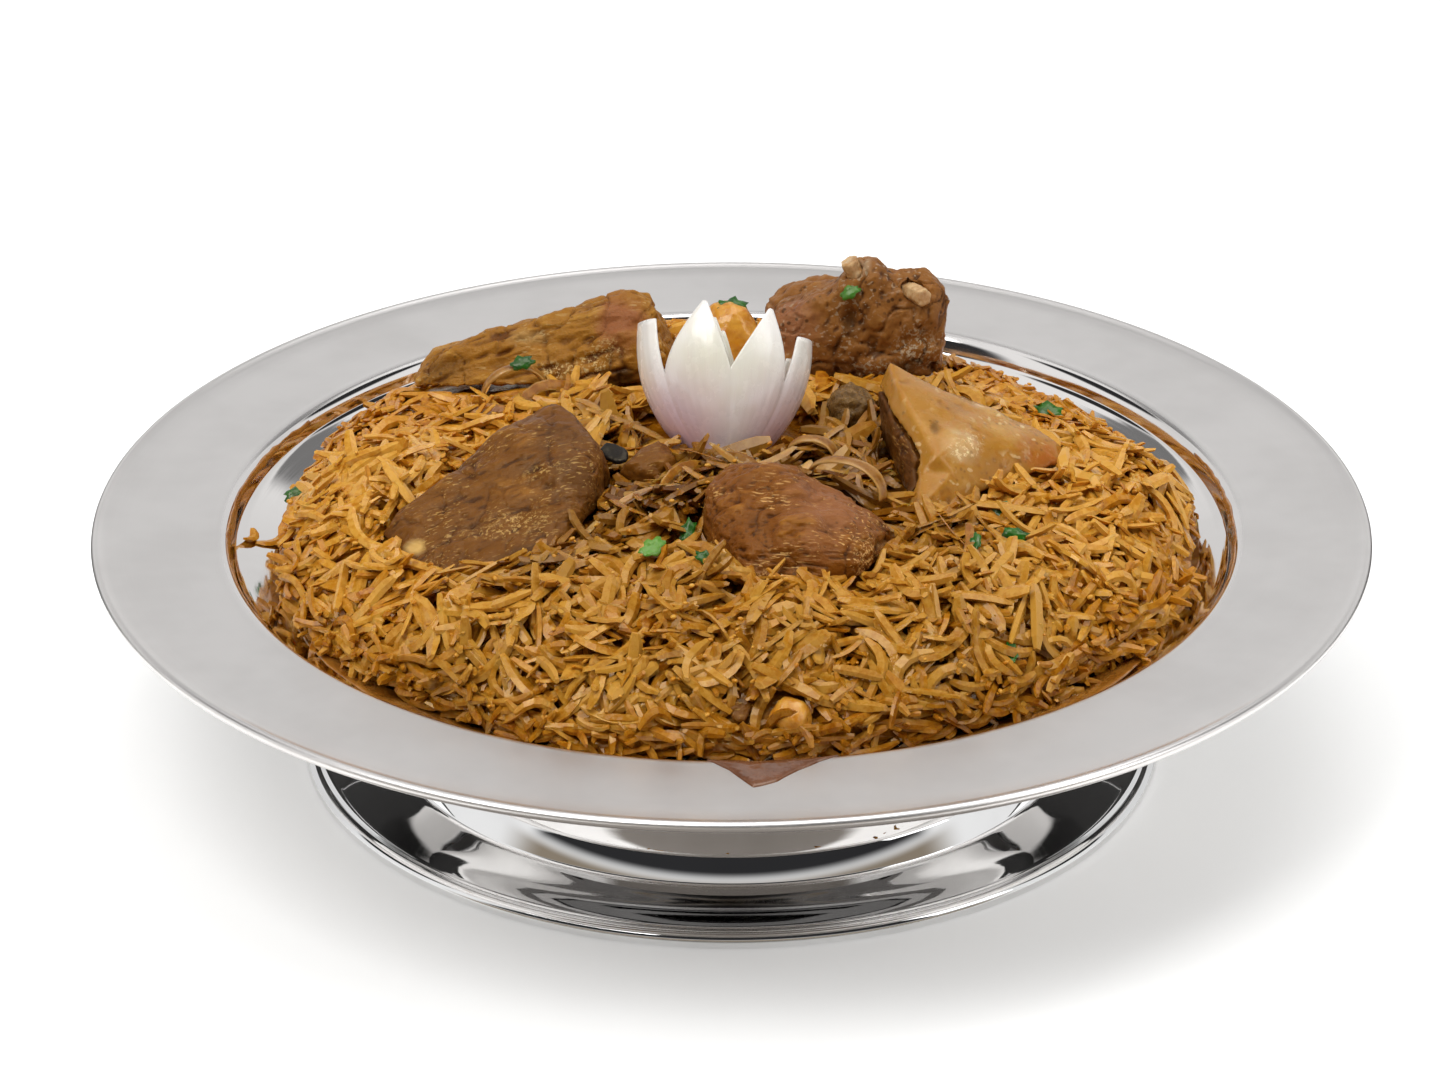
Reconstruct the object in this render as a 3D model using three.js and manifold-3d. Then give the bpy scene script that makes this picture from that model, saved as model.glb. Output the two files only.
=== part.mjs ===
// Plate of stewed meat on rice: a round steel dish on its spun foot, a heap of long-grain rice,
// five pieces of meat, an onion cut as a flower, and the small pieces that lie between them.
// Millimetres, +Z up. The origin is on the surface that the foot stands on, under the middle of
// the dish. The front of the dish is at -Y.

import * as THREE from "three";
import { mergeVertices } from "three/addons/utils/BufferGeometryUtils.js";
import Module from "manifold-3d";

const wasm = await Module();
wasm.setup();

// Driving dimensions of the steel

const GAP = 0.35; // clear space between pieces that touch

const DISH = {
  radius: 175,
  beadRadius: 1.5, // rolled edge of the rim
  rimTop: 68,
  beadAngles: [135, 65, 0, -65, -125],
  beadDrop: 0.9, // how far the middle of its bead lies below the rim's top
  sheet: 1,
  wellRadius: 139.8, // where the flat rim ends
  drawnOut: 0.3, // how much further out it ends underneath
  shoulderWidth: 4,
  shoulderDrop: 5.2,
  shoulderMiddle: { inwards: 0.45, down: 0.22 }, // shares of its width and drop
  floorRadius: 104, // flat bottom of the well
  floorTop: 53,
  wallPower: 1.05, // 1 for a straight wall, more for one that turns up late
  wallSteps: [0.5, 0.8, 1],
  sides: 60,
};

const FOOT = {
  radius: 118.5,
  beadRadius: 2.5, // rolled edge that stands on the table
  beadAngles: [-25, 30, 105],
  standWidth: 2, // flat under the rolled edge
  sheet: 1,
  flange: [
    [113.6, 3.9],
    [104, 4.3],
    [94.2, 6.4],
  ],
  band: [91.6, 14.2],
  cove: [
    [84.6, 22],
    [82.4, 37],
  ],
  collarRadius: 87,
  drawnIn: 0.4, // how much lower and further in its inner face lies at the cove
  sides: 48,
};

// Driving dimensions of the rice

const MOUND = {
  middle: 88, // height of its top above the table
  edge: 62.6,
  radius: 127.8,
  back: 2.2, // how much further it reaches at the back than at the sides
  power: 8.5, // how late its top turns down
  unevenEdge: 2.6,
  unevenTop: 1.5,
  hollowSpacing: 27,
  rings: [0.22, 0.42, 0.6, 0.75, 0.86, 0.94, 1],
  sides: 48,
  underRadii: [119.9, 104],
  coreDepth: 1.7, // how far the core lies below the grains that cover it
  edgeThickness: 1, // least thickness of the core above the wall of the well
  undercut: 0.6, // how far its lower edge stands in from its edge
  restGap: 0.5, // clear space between the core and the wall of the well
  pieceGap: 0.5, // clear space, upwards, between the core and what lies on it
  slopeStep: 3, // half the length over which its slope is taken
  hollow: { x: -74, y: -58, radius: 19, depth: 4 }, // in front of the front left piece
};

const CLUMP = { bearing: 11, width: 3.6, reach: 6.5 }; // rice that reaches the wall on the right

const GRAIN = {
  length: [11.5, 15.5],
  width: 2.7,
  thickness: 2.1,
  bend: 1.5,
  count: 172,
  sides: 4,
  lift: [0.5, 1.1], // how far its middle lies above the core
  seed: 41,
  stray: 2, // how far it may lie from its even place
  strayBearing: 12,
  wallSpace: 1, // clear space to the shoulder of the well
  floorSpace: 0.46, // clear space to its wall and floor
  strayTurn: 150, // how far it may turn from lying along the edge of the heap, both ways together
  rings: [
    [-0.5, 0],
    [-0.22, 1],
    [0.24, 0.95],
    [0.5, 0],
  ], // place along the grain, and share of its full section
};

// Herb bits: place on the heap, length and bearing in degrees

const HERBS = [
  { x: -57.9, y: 40, length: 6, bearing: 20 },
  { x: -63.9, y: 25, length: 4, bearing: 60 },
  { x: -119.5, y: 9.1, length: 6.5, bearing: 25 },
  { x: -11.8, y: -51.5, length: 6, bearing: 75 },
  { x: -21, y: -68.2, length: 7, bearing: 50 },
  { x: -7, y: -70.8, length: 5, bearing: 150 },
  { x: 88, y: 40, length: 7.5, bearing: 160 },
  { x: 79, y: 44, length: 6.5, bearing: 30 },
  { x: 73.5, y: -34, length: 7, bearing: 10 },
  { x: 75.8, y: -47.8, length: 6, bearing: 0 },
  { x: 64.8, y: -59.4, length: 4.5, bearing: 80 },
  { x: 73.2, y: -93.1, length: 5.5, bearing: 100 },
];

// Herb bits that lie on another piece: their place and turn

const PIECE_HERBS = [
  {
    on: "golden_lump_back",
    at: [0.4, 57.4, 107],
    turn: { yaw: 8, rise: 0, roll: 38 },
    length: 8,
  },
  {
    on: "meat_back_right",
    at: [33, 56.9, 111.5],
    turn: { yaw: 25, rise: 10, roll: 62 },
    length: 6,
  },
];

const HERB = {
  width: 0.6, // share of its length
  thickness: 0.7,
  wave: 0.35,
  lift: 1.3, // how far it lies above the core of the heap
  rows: [
    [-0.5, 0.35, 0],
    [0, 1, 1],
    [0.5, 0.25, -0.4],
  ], // place along the leaf, share of its width, share of its wave
};

// Pieces of meat. A facet is the bearing and rise of its direction in degrees, and its distance
// from the middle of the piece; a lump is a ball of flesh that bulges out, as x, y, z, radius.

const MEATS = [
  {
    name: "meat_front_left",
    colour: 0x875d34,
    at: [-62.5, -32, 84],
    turn: { yaw: 35, rise: 19, roll: 12 },
    half: [31, 21, 10],
    rounding: 1.5,
    facets: [
      [0, 90, 9.6],
      [0, -90, 10.5],
      [-50, 4, 24.5],
      [-4, 6, 34.5],
      [176, 12, 30],
      [205, 8, 33],
      [92, 12, 19.5],
      [-97, -12, 25],
    ],
    lumps: [
      [15, 10, 1.2, 11.5],
      [18, -4, 0.4, 11],
      [26, 9, -0.6, 10.4],
    ],
    relief: { depth: 0.5, spacing: 11, seed: 3 },
    detail: 4,
  },
  {
    name: "meat_back_left",
    colour: 0x96632f,
    at: [-56, 60, 90],
    turn: { yaw: -1, rise: 18, roll: 0 },
    half: [34, 15, 12],
    rounding: 1.6,
    facets: [
      [-90, 42, 6.6],
      [90, 53, 11],
      [0, -90, 13],
      [0, 8, 37],
      [180, 45, 26.5],
      [180, 0, 34.5],
      [90, -10, 15],
      [-90, -20, 14.5],
    ],
    lumps: [[24, 1.5, -3, 10.5]],
    relief: { depth: 0.8, spacing: 9, seed: 8 },
    detail: 3,
  },
  {
    name: "meat_back_right",
    colour: 0x865329,
    at: [34, 66, 96],
    turn: { yaw: 0, rise: 0, roll: 0 },
    half: [26, 15, 19],
    rounding: 1.5,
    facets: [
      [180, 5, 25],
      [0, -3, 25],
      [-90, 19, 12.5],
      [222, 18, 25],
      [180, 55, 18.6],
      [90, 80, 12.8],
      [10, 60, 19.2],
      [90, -8, 14],
      [0, -90, 14],
      [-90, -20, 15],
    ],
    lumps: [
      [5, -2, 15.4, 7.4],
      [-0.6, -3, 19, 3.4],
      [19, -3, 10.5, 7],
      [20.5, -3.5, 13.6, 4.4],
    ],
    relief: { depth: 0.7, spacing: 10, seed: 5 },
    detail: 4,
  },
  {
    name: "meat_front_middle",
    colour: 0x8a5128,
    at: [17, -55, 88],
    turn: { yaw: 0, rise: 0, roll: 0 },
    half: [25, 22, 14],
    rounding: 1.4,
    facets: [
      [241, 63, 12.6],
      [-16, 66, 13.6],
      [263, 30, 15.2],
      [207, 6, 20.2],
      [183, 4, 24.3],
      [-20, 0, 23],
      [-62, 0, 22],
      [248, 0, 22],
      [100, 20, 27],
      [60, 20, 20.8],
      [90, 80, 21.5],
      [0, -90, 13],
    ],
    lumps: [],
    relief: { depth: 0.6, spacing: 9, seed: 11 },
    detail: 3,
  },
  {
    name: "meat_scrap_middle",
    colour: 0x7d522c,
    at: [-21.8, -12.6, 91],
    turn: { yaw: 15, rise: 0, roll: 15 },
    half: [7, 5, 4],
    rounding: 1,
    facets: [
      [0, 90, 3.6],
      [0, -90, 4],
      [0, 20, 7],
      [130, 10, 6],
      [230, 15, 6],
      [-60, 20, 5.5],
    ],
    lumps: [],
    relief: { depth: 0.4, spacing: 5, seed: 14 },
    detail: 1,
  },
  {
    name: "meat_scrap_front",
    colour: 0x6d4526,
    at: [3, -116, 71],
    turn: { yaw: 25, rise: 0, roll: 35 },
    half: [5.5, 4, 3],
    rounding: 0.9,
    facets: [
      [0, 90, 2.8],
      [0, -90, 3],
      [10, 10, 5],
      [120, 10, 4.5],
      [200, 10, 5],
      [290, 15, 4],
    ],
    lumps: [],
    relief: { depth: 0.3, spacing: 4, seed: 17 },
    detail: 1,
  },
  {
    name: "golden_lump_back",
    colour: 0xb5741f,
    at: [-0.3, 56.5, 99],
    turn: { yaw: 12, rise: 0, roll: 0 },
    half: [9, 8, 10.5],
    rounding: 1.8,
    facets: [
      [0, 90, 10.5],
      [0, -90, 9],
      [-80, 22, 8.5],
      [10, 12, 7.2],
      [95, 10, 8],
      [185, 16, 8.5],
      [230, 35, 9.5],
    ],
    lumps: [],
    relief: { depth: 0.4, spacing: 7, seed: 21 },
    detail: 1,
  },
  {
    name: "golden_lump_front",
    colour: 0xa86a16,
    at: [14.5, -117, 69],
    turn: { yaw: -20, rise: 5, roll: 30 },
    half: [6.5, 5.5, 5],
    rounding: 1.4,
    facets: [
      [0, 90, 4.6],
      [0, -90, 4.6],
      [0, 12, 6.4],
      [80, 0, 5],
      [180, 10, 6.2],
      [265, 12, 5],
    ],
    lumps: [],
    relief: { depth: 0.25, spacing: 5, seed: 24 },
    detail: 2,
  },
  {
    name: "spice_lump",
    colour: 0x6e5c33,
    at: [33, 25, 92],
    turn: { yaw: 30, rise: 0, roll: 20 },
    half: [7, 6.5, 6],
    rounding: 1.6,
    facets: [
      [0, 80, 5.6],
      [0, -90, 5.5],
      [20, 10, 6.4],
      [110, 15, 6],
      [200, 10, 6.6],
      [290, 20, 6],
    ],
    lumps: [],
    relief: { depth: 0.6, spacing: 4, seed: 27 },
    detail: 2,
  },
  {
    name: "lime_peel",
    colour: 0x1f242b,
    at: [-31.7, -7.2, 92.5],
    turn: { yaw: -38, rise: -8, roll: 28 },
    half: [5.2, 3.2, 0.8],
    rounding: 0.35,
    facets: [
      [0, 90, 0.8],
      [0, -90, 0.8],
      [28, 0, 4.4],
      [-30, 0, 4.4],
      [90, 0, 2.8],
      [-90, 0, 2.8],
      [180, 0, 4.6],
    ],
    lumps: [],
    relief: { depth: 0.12, spacing: 5, seed: 30 },
    detail: 1,
  },
];

// The piece at the right: lean meat with a thick layer of fat over its top and front

const RIGHT_PIECE = {
  at: [64, -3, 89.5],
  half: [28, 20, 16],
  rounding: 1.1,
  outside: [
    [217, 37, 18.9],
    [190, -4, 19.8],
    [-32, 52, 12.2],
    [78, 8, 19.5],
    [15, -8, 33],
    [-18, 10, 31],
    [0, -90, 11],
    [250, -10, 33],
  ],
  covered: [
    [-10, 67, 9],
    [-46, 33, 10.4],
  ], // the two faces that the fat covers
  fatDepth: 6.5,
  fatGap: 0.5, // clear space between the fat and the lean
  beyond: 20, // how far the other faces stand back where the fat is cut from the lean
  lumps: [[-11.5, -27, -5, 8]],
  relief: { depth: 0.35, spacing: 12, seed: 33 },
  detail: 3,
};

// The bone that shows at the top and at the right end of the back right piece

const BONE = {
  points: [
    [32.6, 60.8, 119.6],
    [34.5, 61.5, 115],
    [42, 63, 110.5],
    [49.5, 60.5, 110.5],
    [53.4, 53.2, 111.6],
  ],
  radius: 2.8,
  sides: 6,
  steps: 6,
};

// Strips of stewed onion: the arc that each follows, as its middle, radius, and bearings

const STRIPS = [
  {
    name: "onion_strip_back_left",
    at: [-60, 41, 87.5],
    yaw: 4,
    radius: [9, 8.6],
    from: -8,
    to: 192,
    width: 4.2,
  },
  {
    name: "onion_strip_loop",
    at: [22, -6, 90],
    yaw: -24,
    radius: [7, 6.6],
    from: 0,
    to: 175,
    width: 4.4,
  },
  {
    name: "onion_strip_right",
    at: [31, -25, 90],
    yaw: -38,
    radius: [12, 9],
    from: 5,
    to: 170,
    width: 4.6,
  },
];

const STRIP = { thickness: 1.5, steps: 9, sway: 0.12 };

// The onion flower: two cup-shaped layers with a zigzag edge, and its heart

const FLOWER = {
  at: [-1.9, 1.6, 82.8],
  lean: 44, // degrees that it leans back from upright
  radius: 24.2,
  bellyHeight: 37, // from the root to where the cup is widest
  bellyPower: 0.66, // 0.5 for a round cup, more for one that narrows evenly
  rootRadius: 8,
  thickness: 2,
  floorLift: 0.8, // how much higher its inner face stands
  floorRound: 0.5, // how much higher still its middle is
  heartSides: 10,
  heartTip: 1.5, // height of its pointed end
  innerShare: 0.84, // size of the inner layer
  innerTurn: 5, // degrees that its notches stand further round
  petals: [
    { notch: -110, notchHeight: 22, tip: [-84, 42], end: [-55, 39.8], innerDrop: 14 },
    { notch: -51, notchHeight: 23.4, tip: [-14.5, 41.6], end: [-11.5, 41.4], innerDrop: 3.6 },
    { notch: 4.5, notchHeight: 22.9, tip: [31, 40.4], end: [34, 40], innerDrop: 3.6 },
    { notch: 52, notchHeight: 20.6, tip: [58, 34.8], end: [84, 36.8], innerDrop: 5 },
    { notch: 104, notchHeight: 21, tip: [122, 30], end: [126, 30], innerDrop: 3 },
    { notch: 144, notchHeight: 20, tip: [162, 29], end: [166, 29], innerDrop: 3 },
    { notch: 184, notchHeight: 20, tip: [202, 29], end: [206, 29], innerDrop: 3 },
    { notch: 222, notchHeight: 20, tip: [236, 30], end: [240, 30], innerDrop: 3 },
  ], // bearings from the front towards +X with heights: a notch, then both ends of the tip after it
  tipInset: 0.4,
  notchDrop: 0.33, // how much lower an inner notch is, as a share of the inner drop
  rows: [0.12, 0.36, 0.66, 1], // rings of its wall, as shares of the height of its edge
  heart: [
    [0.2, 0.5],
    [0.24, 5.5],
    [0.42, 11],
    [0.4, 17],
    [0.28, 23],
    [0.12, 27],
  ], // share of the cup's radius, and height
};

const COLOURS = {
  rim: 0xc5c0bb,
  foot: 0x96897a,
  rice: 0xc28a3c,
  fat: 0xb98a3e,
  lean: 0x8b5630,
  bone: 0xc9b78f,
  flower: 0xe2dcd6,
  strip: 0xa67a3a,
};

const TRIANGLE_POINTS = 3;

function degrees(angle) {
  return THREE.MathUtils.degToRad(angle);
}

/** Unit vector of a bearing in the level plane and a rise above it, both in degrees. */
function direction(bearing, rise) {
  const level = Math.cos(degrees(rise));
  const x = level * Math.cos(degrees(bearing));
  const y = level * Math.sin(degrees(bearing));
  return new THREE.Vector3(x, y, Math.sin(degrees(rise)));
}

/** Repeatable random numbers from 0 to 1. */
function randomFrom(seed) {
  let state = seed;
  return () => {
    state = (state * 1664525 + 1013904223) % 4294967296;
    return state / 4294967296;
  };
}

/** Smooth uneven value from -1 to 1 at a point. */
function uneven(x, y, z, spacing, seed) {
  const f = (2 * Math.PI) / spacing;
  const a = Math.sin(x * f + 1.7 * Math.sin(y * f * 0.6 + seed) + 2.1 * seed);
  const b = Math.sin(y * f * 0.9 + 1.3 * Math.sin(z * f * 0.7 + 1.4 * seed) + seed);
  const c = Math.sin(z * f * 1.1 + 1.5 * Math.sin(x * f * 0.5 + 0.7 * seed) + 3 * seed);
  return (a + b + c) / 3;
}

/** Closed geometry from points and triangles. */
function closedGeometry(points, triangles) {
  const geometry = new THREE.BufferGeometry();
  geometry.setAttribute("position", new THREE.Float32BufferAttribute(points, TRIANGLE_POINTS));
  geometry.setIndex(triangles);
  return geometry;
}

/** The geometry with its shared points merged, ready for joining and cutting. */
function welded(geometry) {
  const bare = geometry.clone();
  bare.deleteAttribute("normal");
  bare.deleteAttribute("uv");
  return mergeVertices(bare, 1e-4);
}

function solidOf(geometry) {
  const closed = welded(geometry);
  const vertProperties = new Float32Array(closed.attributes.position.array);
  const triVerts = new Uint32Array(closed.index.array);
  return new wasm.Manifold(new wasm.Mesh({ numProp: 3, vertProperties, triVerts }));
}

function geometryOf(solid) {
  const mesh = solid.getMesh();
  return closedGeometry(Array.from(mesh.vertProperties), Array.from(mesh.triVerts));
}

/** The largest body of a solid, without loose scraps and sealed hollows. */
function mainBody(solid) {
  const bodies = solid.decompose();
  return bodies.reduce((best, body) => (body.volume() > best.volume() ? body : best));
}

function finish(colour, roughness, metalness = 0) {
  return new THREE.MeshStandardMaterial({ color: colour, roughness, metalness });
}

function named(name, geometry, material) {
  const mesh = new THREE.Mesh(geometry, material);
  mesh.name = name;
  return mesh;
}

/** The mesh's solid at its place in the model. */
function solidInPlace(mesh) {
  mesh.updateMatrix();
  return solidOf(mesh.geometry.clone().applyMatrix4(mesh.matrix));
}

/** A turned piece round the vertical axis, from a profile of [radius, height]. */
function turned(profile, sides) {
  const points = profile.map(([r, z]) => new THREE.Vector2(r, z));
  return new THREE.LatheGeometry(points, sides).rotateX(Math.PI / 2);
}

function arc(middle, radius, angles) {
  return angles.map((angle) => [
    middle[0] + radius * Math.cos(degrees(angle)),
    middle[1] + radius * Math.sin(degrees(angle)),
  ]);
}

// The dish and its foot

/** Points of the well's wall, from the edge of its flat floor up to the shoulder. */
function wallPoints() {
  const outer = DISH.wellRadius - DISH.shoulderWidth;
  const rise = DISH.rimTop - DISH.shoulderDrop - DISH.floorTop;
  return [0, ...DISH.wallSteps].map((share) => [
    DISH.floorRadius + share * (outer - DISH.floorRadius),
    DISH.floorTop + rise * Math.pow(share, DISH.wallPower),
  ]);
}

/** Height of the well's surface at a radius. */
function wellHeight(radius) {
  const wall = wallPoints();
  if (radius <= wall[0][0]) return DISH.floorTop;
  const next = Math.max(
    1,
    wall.findIndex(([r]) => r >= radius),
  );
  const [r0, z0] = wall[next - 1];
  const [r1, z1] = wall[next];
  return z0 + ((z1 - z0) * (radius - r0)) / (r1 - r0);
}

function dishGeometry() {
  const wall = wallPoints();
  const shoulder = [
    [
      DISH.wellRadius - DISH.shoulderMiddle.inwards * DISH.shoulderWidth,
      DISH.rimTop - DISH.shoulderMiddle.down * DISH.shoulderDrop,
    ],
    [DISH.wellRadius, DISH.rimTop],
  ];
  const beadMiddle = [DISH.radius - DISH.beadRadius, DISH.rimTop - DISH.beadDrop];
  const bead = arc(beadMiddle, DISH.beadRadius, DISH.beadAngles);
  const below = [wall[0], wall[1], wall[3]].map(([r, z]) => [r, z - DISH.sheet]);
  below.push([DISH.wellRadius + DISH.drawnOut, DISH.rimTop - DISH.sheet]);
  below.push([DISH.radius - 2 * DISH.beadRadius, DISH.rimTop - DISH.sheet]);
  const top = [[0, DISH.floorTop], ...wall, ...shoulder, ...bead];
  return turned([...top, ...below.reverse(), [0, DISH.floorTop - DISH.sheet]].reverse(), DISH.sides);
}

function footGeometry() {
  const beadMiddle = FOOT.radius - FOOT.beadRadius;
  const stand = [beadMiddle - FOOT.standWidth / 2, beadMiddle + FOOT.standWidth / 2];
  const bead = arc([beadMiddle, FOOT.beadRadius], FOOT.beadRadius, FOOT.beadAngles);
  const top = DISH.floorTop - DISH.sheet - GAP;
  const outside = [...FOOT.flange, FOOT.band, ...FOOT.cove, [FOOT.collarRadius, top]];
  const inside = [
    [FOOT.collarRadius - FOOT.sheet - FOOT.drawnIn, top],
    ...FOOT.cove.map(([r, z]) => [r - FOOT.sheet, z - FOOT.drawnIn]).reverse(),
    [FOOT.band[0] - 1.2 * FOOT.sheet, FOOT.band[1] - FOOT.sheet],
    [FOOT.flange[2][0] - FOOT.sheet, FOOT.flange[2][1] - 1.2 * FOOT.sheet],
    [FOOT.flange[0][0], FOOT.flange[0][1] - 1.3 * FOOT.sheet],
  ];
  const profile = [[stand[0], 0], [stand[1], 0], ...bead, ...outside, ...inside];
  return turned([...profile, profile[0]], FOOT.sides);
}

// Fleshy pieces

/** Depth below the surface of a body with flat faces and rounded edges: negative inside. */
function facetField(facets, rounding) {
  const planes = facets.map(([bearing, rise, distance]) => [direction(bearing, rise), distance]);
  return (p) => {
    const sum = planes.reduce((s, [n, d]) => s + Math.exp((n.dot(p) - d) / rounding), 0);
    return rounding * Math.log(sum);
  };
}

/** The field with round lumps of flesh blended on. */
function withLumps(field, lumps, blend) {
  const balls = lumps.map(([x, y, z, radius]) => [new THREE.Vector3(x, y, z), radius]);
  return (p) => {
    const parts = [field(p), ...balls.map(([middle, radius]) => p.distanceTo(middle) - radius)];
    return -blend * Math.log(parts.reduce((s, d) => s + Math.exp(-d / blend), 0));
  };
}

function fleshField({ facets, rounding, lumps, relief }) {
  const body = withLumps(facetField(facets, rounding), lumps, 1.3 * rounding);
  return (p) => body(p) - relief.depth * uneven(p.x, p.y, p.z, relief.spacing, relief.seed);
}

/** Closed skin round the middle of a piece, where its field is zero. */
function skin(field, half, detail) {
  const ball = welded(new THREE.IcosahedronGeometry(1, detail));
  const position = ball.attributes.position;
  const ray = new THREE.Vector3();
  const point = new THREE.Vector3();
  for (let i = 0; i < position.count; i += 1) {
    ray.fromBufferAttribute(position, i).multiply(new THREE.Vector3(...half)).normalize();
    let inner = 0;
    let outer = 4 * Math.max(...half);
    while (outer - inner > 1e-3) {
      const middle = (inner + outer) / 2;
      if (field(point.copy(ray).multiplyScalar(middle)) < 0) inner = middle;
      else outer = middle;
    }
    ray.multiplyScalar(inner);
    position.setXYZ(i, ray.x, ray.y, ray.z);
  }
  return ball;
}

function place(mesh, at, turn) {
  mesh.position.set(...at);
  mesh.rotation.set(degrees(turn.roll), -degrees(turn.rise), degrees(turn.yaw), "ZYX");
  mesh.updateMatrix();
  return mesh;
}

function meatPiece(spec) {
  const flesh = skin(fleshField(spec), spec.half, spec.detail);
  return [place(named(spec.name, flesh, finish(spec.colour, 0.45)), spec.at, spec.turn)];
}

/** A tube along a curve through points, with a round section. */
function tube(points, radius, sides, steps) {
  const curve = new THREE.CatmullRomCurve3(points.map((p) => new THREE.Vector3(...p)));
  const section = new THREE.Shape();
  for (let i = 0; i < sides; i += 1) {
    const angle = (2 * Math.PI * i) / sides;
    const corner = [radius * Math.cos(angle), radius * Math.sin(angle)];
    if (i === 0) section.moveTo(...corner);
    else section.lineTo(...corner);
  }
  section.closePath();
  return new THREE.ExtrudeGeometry(section, { steps, bevelEnabled: false, extrudePath: curve });
}

/** The back right piece, cut open where its bone comes out, and the bone. */
function bonePieces(spec) {
  const [flesh] = meatPiece(spec);
  const bone = tube(BONE.points, BONE.radius, BONE.sides, BONE.steps);
  const socket = solidOf(tube(BONE.points, BONE.radius + GAP, BONE.sides, BONE.steps));
  const meat = geometryOf(mainBody(solidInPlace(flesh).subtract(socket)));
  const bare = finish(COLOURS.bone, 0.5);
  return [named(spec.name, meat, flesh.material), named("rib_bone", geometryOf(solidOf(bone)), bare)];
}

/** The right piece: its lean meat, and the fat that covers two of its faces. */
function rightPieces() {
  const { at, half, detail, rounding, lumps, relief, outside, covered } = RIGHT_PIECE;
  const { fatDepth, fatGap, beyond } = RIGHT_PIECE;
  const turn = { yaw: 0, rise: 0, roll: 0 };
  const moved = (by) => covered.map(([bearing, rise, distance]) => [bearing, rise, distance - by]);
  const whole = fleshField({ facets: [...outside, ...covered], rounding, lumps, relief });
  const far = outside.map(([bearing, rise, distance]) => [bearing, rise, distance + beyond]);
  const under = (by) => solidOf(skin(facetField([...far, ...moved(by)], rounding), half, detail));
  const shape = solidOf(skin(whole, half, detail));
  const fat = geometryOf(mainBody(shape.subtract(under(fatDepth))));
  const lean = geometryOf(mainBody(shape.intersect(under(fatDepth + fatGap))));
  return [
    place(named("fat_layer_right", fat, finish(COLOURS.fat, 0.3)), at, turn),
    place(named("meat_right", lean, finish(COLOURS.lean, 0.4)), at, turn),
  ];
}

/** A flat strip bent along an upright arc. */
function stripGeometry({ radius, from, to, width }) {
  const section = [
    [-1, -1],
    [1, -1],
    [1, 1],
    [-1, 1],
  ];
  const vertices = [];
  for (let i = 0; i <= STRIP.steps; i += 1) {
    const angle = degrees(THREE.MathUtils.lerp(from, to, i / STRIP.steps));
    const sway = STRIP.sway * radius[0] * Math.sin(2 * angle);
    for (const [side, out] of section) {
      const x = Math.cos(angle) * (radius[0] + (out * STRIP.thickness) / 2);
      const z = Math.sin(angle) * (radius[1] + (out * STRIP.thickness) / 2);
      vertices.push(x, sway + (side * width) / 2, z);
    }
  }
  const corners = section.length;
  const triangles = [];
  for (let i = 0; i < STRIP.steps; i += 1) {
    for (let k = 0; k < corners; k += 1) {
      const a = corners * i + k;
      const b = corners * i + ((k + 1) % corners);
      triangles.push(a, b + corners, b, a, a + corners, b + corners);
    }
  }
  const last = corners * STRIP.steps;
  triangles.push(0, 1, 2, 0, 2, 3, last, last + 2, last + 1, last, last + 3, last + 2);
  return closedGeometry(vertices, triangles);
}

function onionStrip(spec) {
  const strip = named(spec.name, stripGeometry(spec), finish(COLOURS.strip, 0.35));
  return [place(strip, spec.at, { yaw: spec.yaw, rise: 0, roll: 0 })];
}

// The onion flower

/** Radius of the cup at a height above the root. */
function cupRadius(height) {
  const share = Math.min(1, height / FLOWER.bellyHeight);
  const open = (1 - (1 - share) ** 2) ** FLOWER.bellyPower;
  return Math.max(FLOWER.rootRadius, FLOWER.radius * open);
}

/** Columns of the zigzag edge: bearing, height, and how far the tip leans in. */
function edgeColumns(inner) {
  const turn = inner ? FLOWER.innerTurn : 0;
  return FLOWER.petals.flatMap(({ notch, notchHeight, tip, end, innerDrop }) => {
    const drop = inner ? innerDrop : 0;
    return [
      { bearing: notch + turn, height: notchHeight - FLOWER.notchDrop * drop, inset: 0 },
      { bearing: tip[0] + turn, height: tip[1] - drop, inset: FLOWER.tipInset },
      { bearing: end[0] + turn, height: end[1] - drop, inset: FLOWER.tipInset },
    ];
  });
}

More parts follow.
